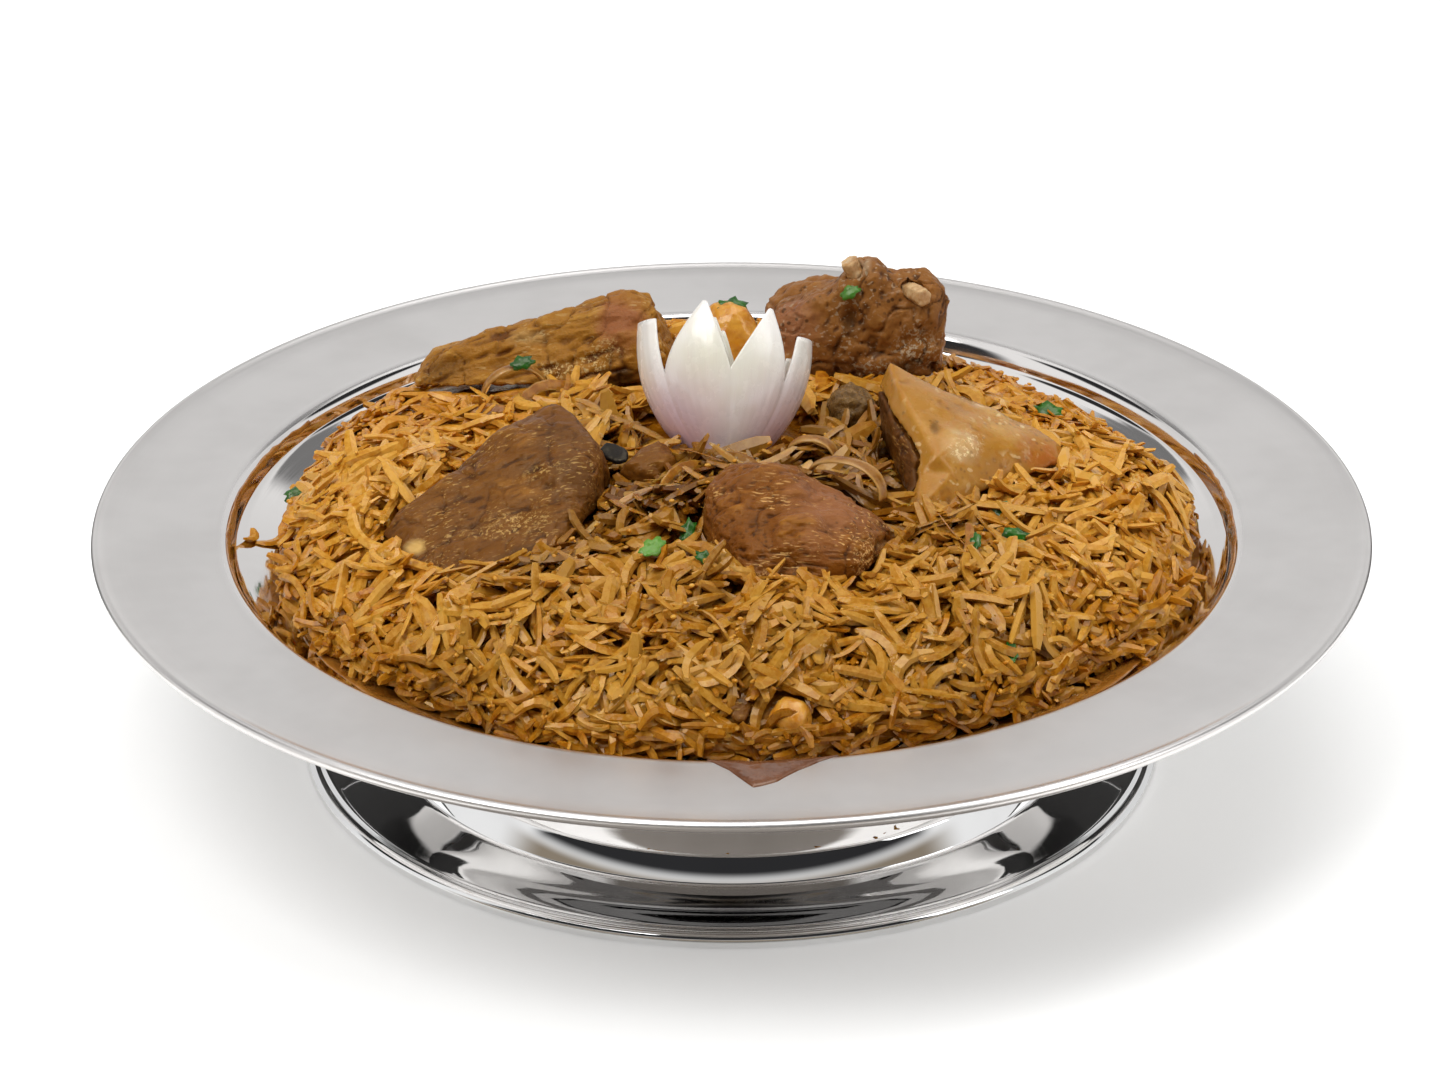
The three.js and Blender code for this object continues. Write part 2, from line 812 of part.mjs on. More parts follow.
/** One layer of the onion: a closed cup from its root out to the zigzag edge. */
function layerGeometry(inner) {
  const columns = edgeColumns(inner);
  const size = inner ? FLOWER.innerShare : 1;
  const points = [];
  const addWall = (thickness, lift) => {
    for (const share of FLOWER.rows) {
      for (const { bearing, height, inset } of columns) {
        const z = share * height;
        const radius = cupRadius(z) - inset * share ** 3 - thickness;
        const angle = degrees(bearing - 90);
        points.push(radius * size * Math.cos(angle), radius * size * Math.sin(angle), z + lift);
      }
    }
  };
  addWall(0, 0);
  addWall(FLOWER.thickness, FLOWER.floorLift);
  const width = columns.length;
  const rows = FLOWER.rows.length;
  const at = (side, row, column) => (side * rows + row) * width + (column % width);
  const triangles = [];
  for (let column = 0; column < width; column += 1) {
    for (let row = 0; row + 1 < rows; row += 1) {
      const [a, b] = [at(0, row, column), at(0, row, column + 1)];
      const [c, d] = [at(0, row + 1, column + 1), at(0, row + 1, column)];
      triangles.push(a, b, c, a, c, d);
      const inner = rows * width;
      triangles.push(a + inner, c + inner, b + inner, a + inner, d + inner, c + inner);
    }
    const [a, b] = [at(0, rows - 1, column), at(0, rows - 1, column + 1)];
    const [c, d] = [at(1, rows - 1, column + 1), at(1, rows - 1, column)];
    triangles.push(a, b, c, a, c, d);
  }
  const bottom = points.length / TRIANGLE_POINTS;
  points.push(0, 0, 0);
  const hollow = bottom + 1;
  points.push(0, 0, points[TRIANGLE_POINTS * rows * width + 2] + FLOWER.floorRound);
  for (let column = 0; column < width; column += 1) {
    triangles.push(bottom, at(0, 0, column + 1), at(0, 0, column));
    triangles.push(hollow, at(1, 0, column), at(1, 0, column + 1));
  }
  return closedGeometry(points, triangles);
}

function heartGeometry() {
  const profile = FLOWER.heart.map(([share, height]) => [share * FLOWER.radius, height]);
  const top = profile[profile.length - 1][1] + FLOWER.heartTip;
  return turned([[0, profile[0][1]], ...profile, [0, top]], FLOWER.heartSides);
}

function onionFlower() {
  const outer = solidOf(layerGeometry(false));
  const inner = solidOf(layerGeometry(true));
  const heart = solidOf(heartGeometry());
  const whole = geometryOf(mainBody(outer.add(inner).add(heart)));
  const turn = { yaw: 0, rise: 0, roll: -FLOWER.lean };
  return [place(named("onion_flower", whole, finish(COLOURS.flower, 0.25)), FLOWER.at, turn)];
}

// The rice

function moundEdge(bearing) {
  const a = degrees(bearing);
  const wave = Math.sin(3 * a + 1) + 0.8 * Math.sin(7 * a + 2.2) + 0.7 * Math.sin(12 * a + 0.4);
  const apart = ((bearing - CLUMP.bearing + 540) % 360) - 180;
  const clump = CLUMP.reach * Math.exp(-((apart / CLUMP.width) ** 2));
  return MOUND.radius + MOUND.back * Math.sin(a) + (MOUND.unevenEdge * wave) / 2.5 + clump;
}

/** Height of the heap's outer surface above the table. */
function moundHeight(x, y) {
  const bearing = THREE.MathUtils.RAD2DEG * Math.atan2(y, x);
  const share = Math.min(1, Math.hypot(x, y) / moundEdge(bearing));
  const fall = (MOUND.middle - MOUND.edge) * Math.pow(share, MOUND.power);
  const fade = 1 - share ** 6;
  const { hollow } = MOUND;
  const away = Math.hypot(x - hollow.x, y - hollow.y) / hollow.radius;
  const top = MOUND.middle - fall - hollow.depth * Math.exp(-(away ** 2));
  return top + MOUND.unevenTop * fade * uneven(x, y, 0, MOUND.hollowSpacing, 2);
}

/** Radius of the core's edge. */
function coreEdge(bearing) {
  return moundEdge(bearing) - MOUND.coreDepth;
}

/** Height of the core's surface, which is straight from ring to ring. */
function coreHeight(x, y) {
  const bearing = THREE.MathUtils.RAD2DEG * Math.atan2(y, x);
  const rings = [0, ...MOUND.rings];
  const share = Math.min(1, Math.hypot(x, y) / coreEdge(bearing));
  const next = Math.max(
    1,
    rings.findIndex((ring) => ring >= share),
  );
  const heightAt = (ring) => {
    const radius = ring * coreEdge(bearing);
    const height = moundHeight(
      radius * Math.cos(degrees(bearing)),
      radius * Math.sin(degrees(bearing)),
    );
    return Math.max(wellHeight(radius) + GAP + MOUND.edgeThickness, height - MOUND.coreDepth);
  };
  const part = (share - rings[next - 1]) / (rings[next] - rings[next - 1]);
  return THREE.MathUtils.lerp(heightAt(rings[next - 1]), heightAt(rings[next]), part);
}

/** The bare core of the heap: its top lies a little below the grains, its underside on the well. */
function coreGeometry() {
  const points = [0, 0, coreHeight(0, 0)];
  const rings = [];
  const addRing = (at) => {
    const ring = [];
    for (let i = 0; i < MOUND.sides; i += 1) {
      const bearing = (360 * i) / MOUND.sides;
      const [radius, z] = at(bearing);
      ring.push(points.length / TRIANGLE_POINTS);
      points.push(radius * Math.cos(degrees(bearing)), radius * Math.sin(degrees(bearing)), z);
    }
    rings.push(ring);
  };
  for (const share of MOUND.rings) {
    addRing((bearing) => {
      const radius = share * coreEdge(bearing);
      const x = radius * Math.cos(degrees(bearing));
      const y = radius * Math.sin(degrees(bearing));
      return [radius, coreHeight(x, y)];
    });
  }
  const under = (radius) => [radius, wellHeight(radius) + MOUND.restGap];
  addRing((bearing) => under(coreEdge(bearing) - MOUND.undercut));
  for (const radius of MOUND.underRadii) addRing(() => under(radius));
  const last = points.length / TRIANGLE_POINTS;
  points.push(0, 0, DISH.floorTop + GAP);
  const triangles = [];
  for (let i = 0; i < MOUND.sides; i += 1) {
    const j = (i + 1) % MOUND.sides;
    triangles.push(0, rings[0][i], rings[0][j]);
    for (let k = 0; k + 1 < rings.length; k += 1) {
      const [near, far] = [rings[k], rings[k + 1]];
      triangles.push(near[i], far[i], far[j], near[i], far[j], near[j]);
    }
    const lowest = rings[rings.length - 1];
    triangles.push(lowest[i], last, lowest[j]);
  }
  return closedGeometry(points, triangles);
}

/** A cooked grain along X: slim, a little bent, with tapered ends. */
function grainGeometry(length, bend) {
  const points = [];
  const rows = GRAIN.rings.map(([along, share]) => {
    const x = along * length;
    const sag = bend * (1 - 4 * along * along);
    if (share === 0) {
      points.push(x, sag, 0);
      return [points.length / TRIANGLE_POINTS - 1];
    }
    const row = [];
    for (let i = 0; i < GRAIN.sides; i += 1) {
      const angle = (2 * Math.PI * i) / GRAIN.sides;
      const y = sag + 0.5 * GRAIN.width * share * Math.cos(angle);
      const z = 0.5 * GRAIN.thickness * share * Math.sin(angle);
      row.push(points.length / TRIANGLE_POINTS);
      points.push(x, y, z);
    }
    return row;
  });
  const triangles = [];
  for (let k = 0; k + 1 < rows.length; k += 1) {
    for (let i = 0; i < GRAIN.sides; i += 1) {
      const j = (i + 1) % GRAIN.sides;
      const [near, far] = [rows[k], rows[k + 1]];
      if (near.length === 1) triangles.push(near[0], far[j], far[i]);
      else if (far.length === 1) triangles.push(near[i], near[j], far[0]);
      else triangles.push(near[i], near[j], far[j], near[i], far[j], far[i]);
    }
  }
  return closedGeometry(points, triangles);
}

/** Turns and moves a flat-lying piece so that it follows the slope of the heap. */
function laidOnHeap(geometry, x, y, bearing, lift) {
  const step = MOUND.slopeStep;
  const slopeX = (coreHeight(x + step, y) - coreHeight(x - step, y)) / (2 * step);
  const slopeY = (coreHeight(x, y + step) - coreHeight(x, y - step)) / (2 * step);
  const up = new THREE.Vector3(-slopeX, -slopeY, 1).normalize();
  const tilt = new THREE.Quaternion().setFromUnitVectors(new THREE.Vector3(0, 0, 1), up);
  const turn = new THREE.Quaternion().setFromAxisAngle(new THREE.Vector3(0, 0, 1), degrees(bearing));
  const at = new THREE.Vector3(x, y, coreHeight(x, y)).addScaledVector(up, lift);
  const matrix = new THREE.Matrix4().compose(at, tilt.multiply(turn), new THREE.Vector3(1, 1, 1));
  return geometry.applyMatrix4(matrix);
}

/** Grains spread evenly over the heap, each at its own bearing, with its own length and bend. */
function heapGrains() {
  const random = randomFrom(GRAIN.seed);
  const golden = 180 * (3 - Math.sqrt(5));
  const grains = [];
  for (let i = 0; i < GRAIN.count; i += 1) {
    const share = Math.sqrt((i + 0.5) / GRAIN.count);
    const bearing = i * golden + GRAIN.strayBearing * (random() - 0.5);
    const even = share * (coreEdge(bearing) - 0.5 * GRAIN.width);
    const radius = even + GRAIN.stray * (random() - 0.5);
    const length = THREE.MathUtils.lerp(...GRAIN.length, random());
    const bend = GRAIN.bend * (random() - 0.5) * 2;
    const x = radius * Math.cos(degrees(bearing));
    const y = radius * Math.sin(degrees(bearing));
    const yaw = bearing + 90 + GRAIN.strayTurn * (random() - 0.5);
    const lift = THREE.MathUtils.lerp(...GRAIN.lift, random());
    grains.push(laidOnHeap(grainGeometry(length, bend), x, y, yaw, lift));
  }
  return grains;
}

/** A herb bit: a thin wavy leaf, both faces split alike. */
function herbGeometry(length) {
  const points = [];
  for (const [along, share, wave] of HERB.rows) {
    for (const side of [-1, 1]) {
      for (const face of [-1, 1]) {
        const y = (side * share * HERB.width * length) / 2;
        points.push(along * length, y, HERB.wave * wave * (1 + side) + (face * HERB.thickness) / 2);
      }
    }
  }
  const triangles = [0, 1, 3, 0, 3, 2, 8, 11, 9, 8, 10, 11];
  for (const k of [0, 4]) {
    triangles.push(k, k + 2, k + 6, k, k + 6, k + 4);
    triangles.push(k + 1, k + 7, k + 3, k + 1, k + 5, k + 7);
    triangles.push(k, k + 4, k + 5, k, k + 5, k + 1);
    triangles.push(k + 2, k + 3, k + 7, k + 2, k + 7, k + 6);
  }
  return closedGeometry(points, triangles);
}

function heapHerbs() {
  return HERBS.map(({ x, y, length, bearing }) =>
    laidOnHeap(herbGeometry(length), x, y, bearing, HERB.lift),
  );
}

/** True where a piece on the heap stays clear of the wall of the well. */
function clearOfWell(geometry) {
  const position = geometry.attributes.position;
  for (let i = 0; i < position.count; i += 1) {
    const radius = Math.hypot(position.getX(i), position.getY(i));
    if (radius > DISH.wellRadius - DISH.shoulderWidth - GRAIN.wallSpace) return false;
    if (position.getZ(i) < wellHeight(radius) + GRAIN.floorSpace) return false;
  }
  return true;
}

/** The rice: its core, with the grains and herb bits that stay clear of the other pieces. */
function rice(core, others) {
  const taken = wasm.Manifold.union(others.map(solidInPlace));
  const pieces = [...heapGrains(), ...heapHerbs()]
    .filter(clearOfWell)
    .map(solidOf)
    .filter((piece) => piece.minGap(taken, GAP) >= GAP);
  const whole = mainBody(wasm.Manifold.union([core, ...pieces]));
  return named("rice", geometryOf(whole), finish(COLOURS.rice, 0.5));
}

/** The piece without what would lie inside the heap, with the herb bits that lie on it. */
function fittedTo(heap, mesh) {
  const bits = PIECE_HERBS.filter(({ on }) => on === mesh.name).map(({ at, turn, length }) =>
    solidInPlace(place(new THREE.Mesh(herbGeometry(length)), at, turn)),
  );
  const rest = wasm.Manifold.union([solidInPlace(mesh).subtract(heap), ...bits]);
  return named(mesh.name, geometryOf(mainBody(rest)), mesh.material);
}

// The whole plate

const plate = new THREE.Group();
plate.name = "plate_of_meat_and_rice";

const steel = new THREE.Group();
steel.add(named("dish", dishGeometry(), finish(COLOURS.rim, 0.25, 1)));
steel.add(named("foot", footGeometry(), finish(COLOURS.foot, 0.15, 1)));
plate.add(steel);

const core = solidOf(coreGeometry());
const raisedCore = solidOf(coreGeometry().translate(0, 0, MOUND.pieceGap));

const toppings = [
  ...MEATS.map((spec) => (spec.name === "meat_back_right" ? bonePieces(spec) : meatPiece(spec))),
  rightPieces(),
  ...STRIPS.map(onionStrip),
  onionFlower(),
]
  .flat()
  .map((mesh) => fittedTo(raisedCore, mesh));

const food = new THREE.Group();
food.add(rice(core, toppings), ...toppings);
plate.add(food);

export default plate;
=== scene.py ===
"""A plate of stewed meat on rice, dressed for looks.

A round steel dish on its spun foot holds a heap of golden long-grain rice, five pieces of stewed
meat, an onion cut as a flower, and small bits of herb, peel, onion and spice.
Metres, +Z up, the front of the dish at -Y. Sizes in the classes below are in millimetres.
"""

import logging
import math
from dataclasses import dataclass, field
from enum import Enum
from functools import cache

import bpy
import numpy as np
from mathutils import Euler, Matrix, Vector
from mathutils.bvhtree import BVHTree


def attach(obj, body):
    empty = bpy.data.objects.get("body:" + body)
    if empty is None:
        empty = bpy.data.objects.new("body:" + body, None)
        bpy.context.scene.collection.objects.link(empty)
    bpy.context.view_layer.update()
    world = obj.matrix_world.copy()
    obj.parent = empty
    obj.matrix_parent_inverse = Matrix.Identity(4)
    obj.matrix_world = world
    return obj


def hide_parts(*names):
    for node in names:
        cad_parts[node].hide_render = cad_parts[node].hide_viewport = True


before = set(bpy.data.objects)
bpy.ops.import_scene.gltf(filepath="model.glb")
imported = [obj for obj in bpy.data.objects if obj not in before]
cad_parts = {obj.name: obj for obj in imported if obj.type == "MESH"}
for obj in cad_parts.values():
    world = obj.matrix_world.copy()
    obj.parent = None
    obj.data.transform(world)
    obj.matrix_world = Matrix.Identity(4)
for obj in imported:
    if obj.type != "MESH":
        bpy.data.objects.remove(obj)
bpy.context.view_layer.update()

log = logging.getLogger("plate")
MM = 0.001
Array = np.ndarray
Profile = list[tuple[float, float]]
Triple = tuple[float, float, float]


# Colours, noise and meshes


def colour(red: int, green: int, blue: int) -> tuple[float, float, float, float]:
    """Linear colour with alpha from the 0 to 255 values of a screen colour."""
    shares = [channel / 255 for channel in (red, green, blue)]
    linear = [c / 12.92 if c <= 0.04045 else ((c + 0.055) / 1.055) ** 2.4 for c in shares]
    return (*linear, 1.0)


class NoiseField:
    """Smooth random values in space, the same on each run."""

    SIZE = 32

    def __init__(self, seed: int) -> None:
        """Fills the lattice.

        Args:
            seed: number that the random values come from.
        """
        self.lattice = np.random.default_rng(seed).uniform(-1, 1, (self.SIZE,) * 3)

    def at(self, points: Array) -> Array:
        """Value at each point, from -1 to 1.

        Args:
            points: places, in lattice steps, one row each.

        Returns:
            One value for each row.
        """
        low = np.floor(points).astype(int)
        part = points - low
        part = part * part * (3 - 2 * part)
        total = np.zeros(len(points))
        for corner in np.ndindex(2, 2, 2):
            index = (low + corner) % self.SIZE
            weight = np.prod(np.where(corner, part, 1 - part), axis=1)
            total += weight * self.lattice[index[:, 0], index[:, 1], index[:, 2]]
        return total

    def fractal(self, points: Array, octaves: int = 3) -> Array:
        """Sum of finer and finer noise, from about -1 to 1.

        Args:
            points: places, in lattice steps, one row each.
            octaves: how many sizes of detail are added.

        Returns:
            One value for each row.
        """
        total = np.zeros(len(points))
        for octave in range(octaves):
            total += self.at(points * 2.03**octave + 7.3 * octave) / 2**octave
        return total / 1.6


def mesh_object(name: str, points: Array, faces: list) -> bpy.types.Object:
    """A new smoothly shaded object whose mesh holds the points and faces.

    Args:
        name: the object's name.
        points: corners in metres, one row each.
        faces: corner numbers of each face.

    Returns:
        The object, linked to the scene.
    """
    mesh = bpy.data.meshes.new(name)
    mesh.from_pydata(np.asarray(points, float).tolist(), [], [list(face) for face in faces])
    mesh.validate()
    mesh.shade_smooth()
    piece = bpy.data.objects.new(name, mesh)
    bpy.context.scene.collection.objects.link(piece)
    return piece


def corners_of(mesh: bpy.types.Mesh) -> Array:
    """The mesh's points as an array, one row each."""
    values = np.zeros(3 * len(mesh.vertices))
    mesh.vertices.foreach_get("co", values)
    return values.reshape(-1, 3)


def normals_of(mesh: bpy.types.Mesh) -> Array:
    """The direction out of the surface at each point."""
    values = np.zeros(3 * len(mesh.vertices))
    mesh.vertices.foreach_get("normal", values)
    return values.reshape(-1, 3)


def store(mesh: bpy.types.Mesh, name: str, values: Array) -> None:
    """Keeps a number, a whole number or a vector for each point of the mesh.

    Args:
        mesh: the mesh.
        name: the attribute's name.
        values: one row for each point.
    """
    values = np.asarray(values)
    kind, slot, form = "FLOAT", "value", np.float32
    if values.ndim == 2:
        kind, slot = "FLOAT_VECTOR", "vector"
    elif values.dtype.kind == "i":
        kind, form = "INT", np.int32
    attribute = mesh.attributes.get(name) or mesh.attributes.new(name, kind, "POINT")
    attribute.data.foreach_set(slot, values.astype(form).ravel())


def applied(piece: bpy.types.Object) -> None:
    """Turns the result of the object's modifiers into its plain mesh and removes them."""
    bpy.context.view_layer.update()
    evaluated = piece.evaluated_get(bpy.context.evaluated_depsgraph_get())
    mesh = bpy.data.meshes.new_from_object(evaluated)
    piece.modifiers.clear()
    piece.data = mesh


def grown(name: str, tree: bpy.types.NodeTree, spots: Array, kept: dict, inputs: dict) -> bpy.types.Object:
    """The mesh that a Geometry Nodes tree puts on points.

    Args:
        name: the object's name.
        tree: the tree.
        spots: the points in millimetres.
        kept: what the points keep, by name.
        inputs: values of the tree's inputs, by name.

    Returns:
        The object.
    """
    piece = mesh_object(name, spots * MM, [])
    for key, values in kept.items():
        store(piece.data, key, values)
    modifier = piece.modifiers.new("bits", "NODES")
    modifier.node_group = tree
    for item in tree.interface.items_tree:
        if item.in_out == "INPUT" and item.name in inputs:
            modifier[item.identifier] = inputs[item.name]
    applied(piece)
    return piece


def skin(rows: int, columns: int, start: int = 0, inward: bool = False, closed: bool = True) -> list[tuple]:
    """Faces between neighbouring rows of points.

    Args:
        rows: number of rows.
        columns: number of points in a row.
        start: number of the first point.
        inward: whether the faces look the other way.
        closed: whether the last column joins the first.

    Returns:
        Corner numbers of each face.
    """
    faces = []
    for first in range(start, start + (rows - 1) * columns, columns):
        for i in range(columns if closed else columns - 1):
            a, b = first + i, first + (i + 1) % columns
            c, d = a + columns, b + columns
            faces.append((a, c, d, b) if inward else (a, b, d, c))
    return faces


def fan(tip: int, start: int, count: int, inward: bool = False) -> list[tuple]:
    """Triangles between one point and a ring.

    Args:
        tip: number of the one point.
        start: number of the ring's first point.
        count: number of points in the ring.
        inward: whether the faces look the other way.

    Returns:
        Corner numbers of each face.
    """
    pairs = [(start + i, start + (i + 1) % count) for i in range(count)]
    return [(tip, b, a) if inward else (tip, a, b) for a, b in pairs]


def solid_copy(node: str, name: str) -> bpy.types.Object:
    """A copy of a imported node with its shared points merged.

    Args:
        node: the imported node.
        name: the new object's name.

    Returns:
        The copy.
    """
    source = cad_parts[node].data
    points = np.round(corners_of(source), 7)
    unique, place = np.unique(points, axis=0, return_inverse=True)
    place = place.reshape(-1)
    faces = [[int(place[v]) for v in polygon.vertices] for polygon in source.polygons]
    return mesh_object(name, unique, [f for f in faces if len(set(f)) == len(f)])


def lathed(name: str, profile: Profile, sides: int) -> bpy.types.Object:
    """A turned shell round the vertical axis.

    Args:
        name: the object's name.
        profile: closed run of radius and height in millimetres, anticlockwise seen with the
            axis at the left.
        sides: how many steps one turn has.

    Returns:
        The object.
    """
    angles = np.arange(sides) * 2 * math.pi / sides
    points = [(r * math.cos(a), r * math.sin(a), z) for r, z in profile for a in angles]
    faces = [[v % len(points) for v in face] for face in skin(len(profile) + 1, sides)]
    return mesh_object(name, np.array(points) * MM, faces)


def spline(points: tuple | list, steps: int) -> Profile:
    """Smooth run through points of a profile.

    Args:
        points: the places it passes through.
        steps: how many steps lie between two of them.

    Returns:
        The denser run, from the first point to the last.
    """
    p = np.array(points, float)
    padded = np.vstack([2 * p[0] - p[1], p, 2 * p[-1] - p[-2]])
    dense = []
    for a, b, c, d in zip(padded, padded[1:], padded[2:], padded[3:]):
        for t in np.arange(steps) / steps:
            bend = 2 * a - 5 * b + 4 * c - d
            cubic = -a + 3 * b - 3 * c + d
            dense.append(tuple(0.5 * (2 * b + (c - a) * t + bend * t**2 + cubic * t**3)))
    dense.append(tuple(p[-1]))
    return dense


def arc(middle: tuple[float, float], radius: float, start: float, end: float, steps: int) -> Profile:
    """Points of a circular arc in a profile.

    Args:
        middle: centre of the arc.
        radius: its radius.
        start: first angle in degrees.
        end: last angle in degrees.
        steps: number of steps.

    Returns:
        The points.
    """
    angles = np.radians(np.linspace(start, end, steps + 1))
    return [(middle[0] + radius * math.cos(a), middle[1] + radius * math.sin(a)) for a in angles]


# Node trees


class NodeSheet:
    """Adds nodes to one tree and joins them."""

    def __init__(self, tree: bpy.types.NodeTree) -> None:
        """Keeps the tree.

        Args:
            tree: the tree that gets the nodes.
        """
        self.tree = tree

    def add(self, kind: str, inputs: dict | None = None, **settings: object) -> bpy.types.Node:
        """Adds a node.

        Args:
            kind: the node's type name.
            inputs: value or socket for each input, by name or number.
            settings: properties of the node.

        Returns:
            The node.
        """
        node = self.tree.nodes.new(kind)
        for key, value in settings.items():
            setattr(node, key, value)
        self.fill(node, inputs or {})
        return node

    def fill(self, node: bpy.types.Node, inputs: dict) -> None:
        """Sets or joins inputs of a node.

        Args:
            node: the node.
            inputs: value or socket for each input, by name or number.
        """
        for key, value in inputs.items():
            if isinstance(value, bpy.types.NodeSocket):
                self.tree.links.new(value, node.inputs[key])
            else:
                node.inputs[key].default_value = value

    def get(self, kind: str, inputs: dict | None = None, out: int | str = 0, **settings: object) -> object:
        """Adds a node and gives one of its output sockets.

        Args:
            kind: the node's type name.
            inputs: value or socket for each input, by name or number.
            out: name or number of the output.
            settings: properties of the node.

        Returns:
            The socket.
        """
        return self.add(kind, inputs, **settings).outputs[out]

    def vector(self, *parts: object) -> object:
        """A vector from up to three numbers or sockets."""
        return self.get("ShaderNodeCombineXYZ", dict(enumerate(parts)))

    def axes(self, vector: object) -> object:
        """The three parts of a vector."""
        return self.add("ShaderNodeSeparateXYZ", {0: vector}).outputs

    def distance(self, vector: object, spot: Triple) -> object:
        """How far a vector lies from a spot."""
        return self.get("ShaderNodeVectorMath", {0: vector, 1: spot}, "Value", operation="DISTANCE")

    def math(self, operation: str, *values: object) -> object:
        """Result of a sum on one to three values."""
        return self.get("ShaderNodeMath", dict(enumerate(values)), operation=operation)

    def blend(self, factor: object, first: object, second: object, way: str = "MIX") -> object:
        """Mixes two colours.

        Args:
            factor: how much of the second shows.
            first: colour or socket.
            second: colour or socket.
            way: how they mix.

        Returns:
            The mixed colour's socket.
        """
        inputs = {0: factor, 6: first, 7: second}
        return self.get("ShaderNodeMix", inputs, 2, data_type="RGBA", blend_type=way)

    def spread(self, value: object, low: float, high: float, to: tuple = (0.0, 1.0)) -> object:
        """Maps a value from one range to another and keeps it inside.

        Args:
            value: the socket.
            low: start of the range that is read.
            high: its end.
            to: the range that comes out.

        Returns:
            The mapped value's socket.
        """
        inputs = {"Value": value, "From Min": low, "From Max": high, "To Min": to[0], "To Max": to[1]}
        return self.get("ShaderNodeMapRange", inputs, interpolation_type="SMOOTHSTEP")

    def noise(self, vector: object, scale: object, detail: float = 3.0, rough: float = 0.5) -> object:
        """Noise of a number of lumps per metre.

        Args:
            vector: where it is read.
            scale: lumps per metre.
            detail: how many finer sizes are added.
            rough: how strong the finer sizes are.

        Returns:
            The value's socket.
        """
        return self.get("ShaderNodeTexNoise", {"Vector": vector, "Scale": scale, "Detail": detail, "Roughness": rough})

    def place(self) -> object:
        """The point's place in the object."""
        return self.get("ShaderNodeTexCoord", out="Object")

    def stretched(self, turn: Triple, size: Triple) -> object:
        """The point's place, turned and stretched.

        Args:
            turn: turn in degrees about X, Y and Z.
            size: share that each turned axis keeps.

        Returns:
            The vector's socket.
        """
        inputs = {"Vector": self.place(), "Rotation": [math.radians(a) for a in turn]}
        turned = self.get("ShaderNodeMapping", inputs)
        return self.get("ShaderNodeMapping", {"Vector": turned, "Scale": size})

    def kept(self, name: str) -> object:
        """The number that the mesh keeps under a name."""
        return self.get("ShaderNodeAttribute", out="Fac", attribute_name=name)

    def group(self, tree: bpy.types.NodeTree, inputs: dict) -> bpy.types.Node:
        """Places a node group, with a value or socket for each input."""
        return self.add("ShaderNodeGroup", inputs, node_tree=tree)

    def scatter(self, points: object, shape: object, material: object, smooth: bool, inputs: dict) -> None:
        """Puts a shape on each point as real mesh, turned and sized by what the point keeps.

        Args:
            points: socket of the points.
            shape: socket of the shape.
            material: what the bits are dressed in.
            smooth: whether they are shaded smoothly.
            inputs: more inputs of the node that places the shapes.
        """
        turn, size = (
            self.get("GeometryNodeInputNamedAttribute", {"Name": key}, data_type="FLOAT_VECTOR")
            for key in ("turn", "size")
        )
        spin = self.get("FunctionNodeEulerToRotation", {0: turn})
        given = {"Points": points, "Instance": shape, "Rotation": spin, "Scale": size}
        real = self.get("GeometryNodeRealizeInstances", {0: self.get("GeometryNodeInstanceOnPoints", given | inputs)})
        shaded = self.get("GeometryNodeSetShadeSmooth", {0: real, "Shade Smooth": smooth})
        dressed = self.get("GeometryNodeSetMaterial", {"Geometry": shaded, "Material": material})
        self.add("NodeGroupOutput", {0: dressed})


def new_tree(name: str, kind: str, inputs: dict, outputs: dict) -> tuple[NodeSheet, object]:
    """Starts a node tree with named sockets.

    Args:
        name: the tree's name.
        kind: the kind of tree.
        inputs: type and first value of each input.
        outputs: type of each output.

    Returns:
        The tree's sheet and the sockets of its inputs.
    """
    tree = bpy.data.node_groups.new(name, kind)
    for key, (form, value) in inputs.items():
        socket = tree.interface.new_socket(key, in_out="INPUT", socket_type="NodeSocket" + form)
        if value is not None:
            socket.default_value = value
    for key, form in outputs.items():
        tree.interface.new_socket(key, in_out="OUTPUT", socket_type="NodeSocket" + form)
    sheet = NodeSheet(tree)
    return sheet, sheet.add("NodeGroupInput").outputs


@cache
def muscle_fibres() -> bpy.types.NodeTree:
    """Long muscle fibres: a colour mask and a height, along the X axis of the vector."""
    inputs = {"Vector": ("Vector", None), "Fibres per metre": ("Float", 700.0), "Waviness": ("Float", 0.4)}
    sheet, given = new_tree("muscle_fibres", "ShaderNodeTree", inputs, {"Mask": "Float", "Height": "Float"})
    wide = sheet.math("SUBTRACT", sheet.noise(given[0], 90.0, 2.0), 0.5)
    sway = sheet.math("MULTIPLY", wide, given[2])
    moved = sheet.get("ShaderNodeVectorMath", {0: given[0], 1: sheet.vector(0.0, sway, sway)}, operation="ADD")
    thin = sheet.noise(moved, given[1], 2.0, 0.6)
    broad = sheet.noise(moved, sheet.math("MULTIPLY", given[1], 0.35), 1.0)
    both = sheet.math("ADD", sheet.math("MULTIPLY", thin, 0.6), broad)
    sheet.add("NodeGroupOutput", {0: sheet.spread(both, 0.6, 1.0), 1: both})
    return sheet.tree


@cache
def moist_glaze() -> bpy.types.NodeTree:
    """Patches of wet glaze: roughness that changes over the surface."""
    inputs = {"Vector": ("Vector", None), "Wet": ("Float", 0.15), "Dry": ("Float", 0.5)}
    sheet, given = new_tree("moist_glaze", "ShaderNodeTree", inputs, {"Roughness": "Float"})
    share = sheet.spread(sheet.noise(given[0], 160.0, 4.0, 0.6), 0.4, 0.62)
    wide = sheet.math("SUBTRACT", given[2], given[1])
    sheet.add("NodeGroupOutput", {0: sheet.math("MULTIPLY_ADD", wide, share, given[1])})
    return sheet.tree


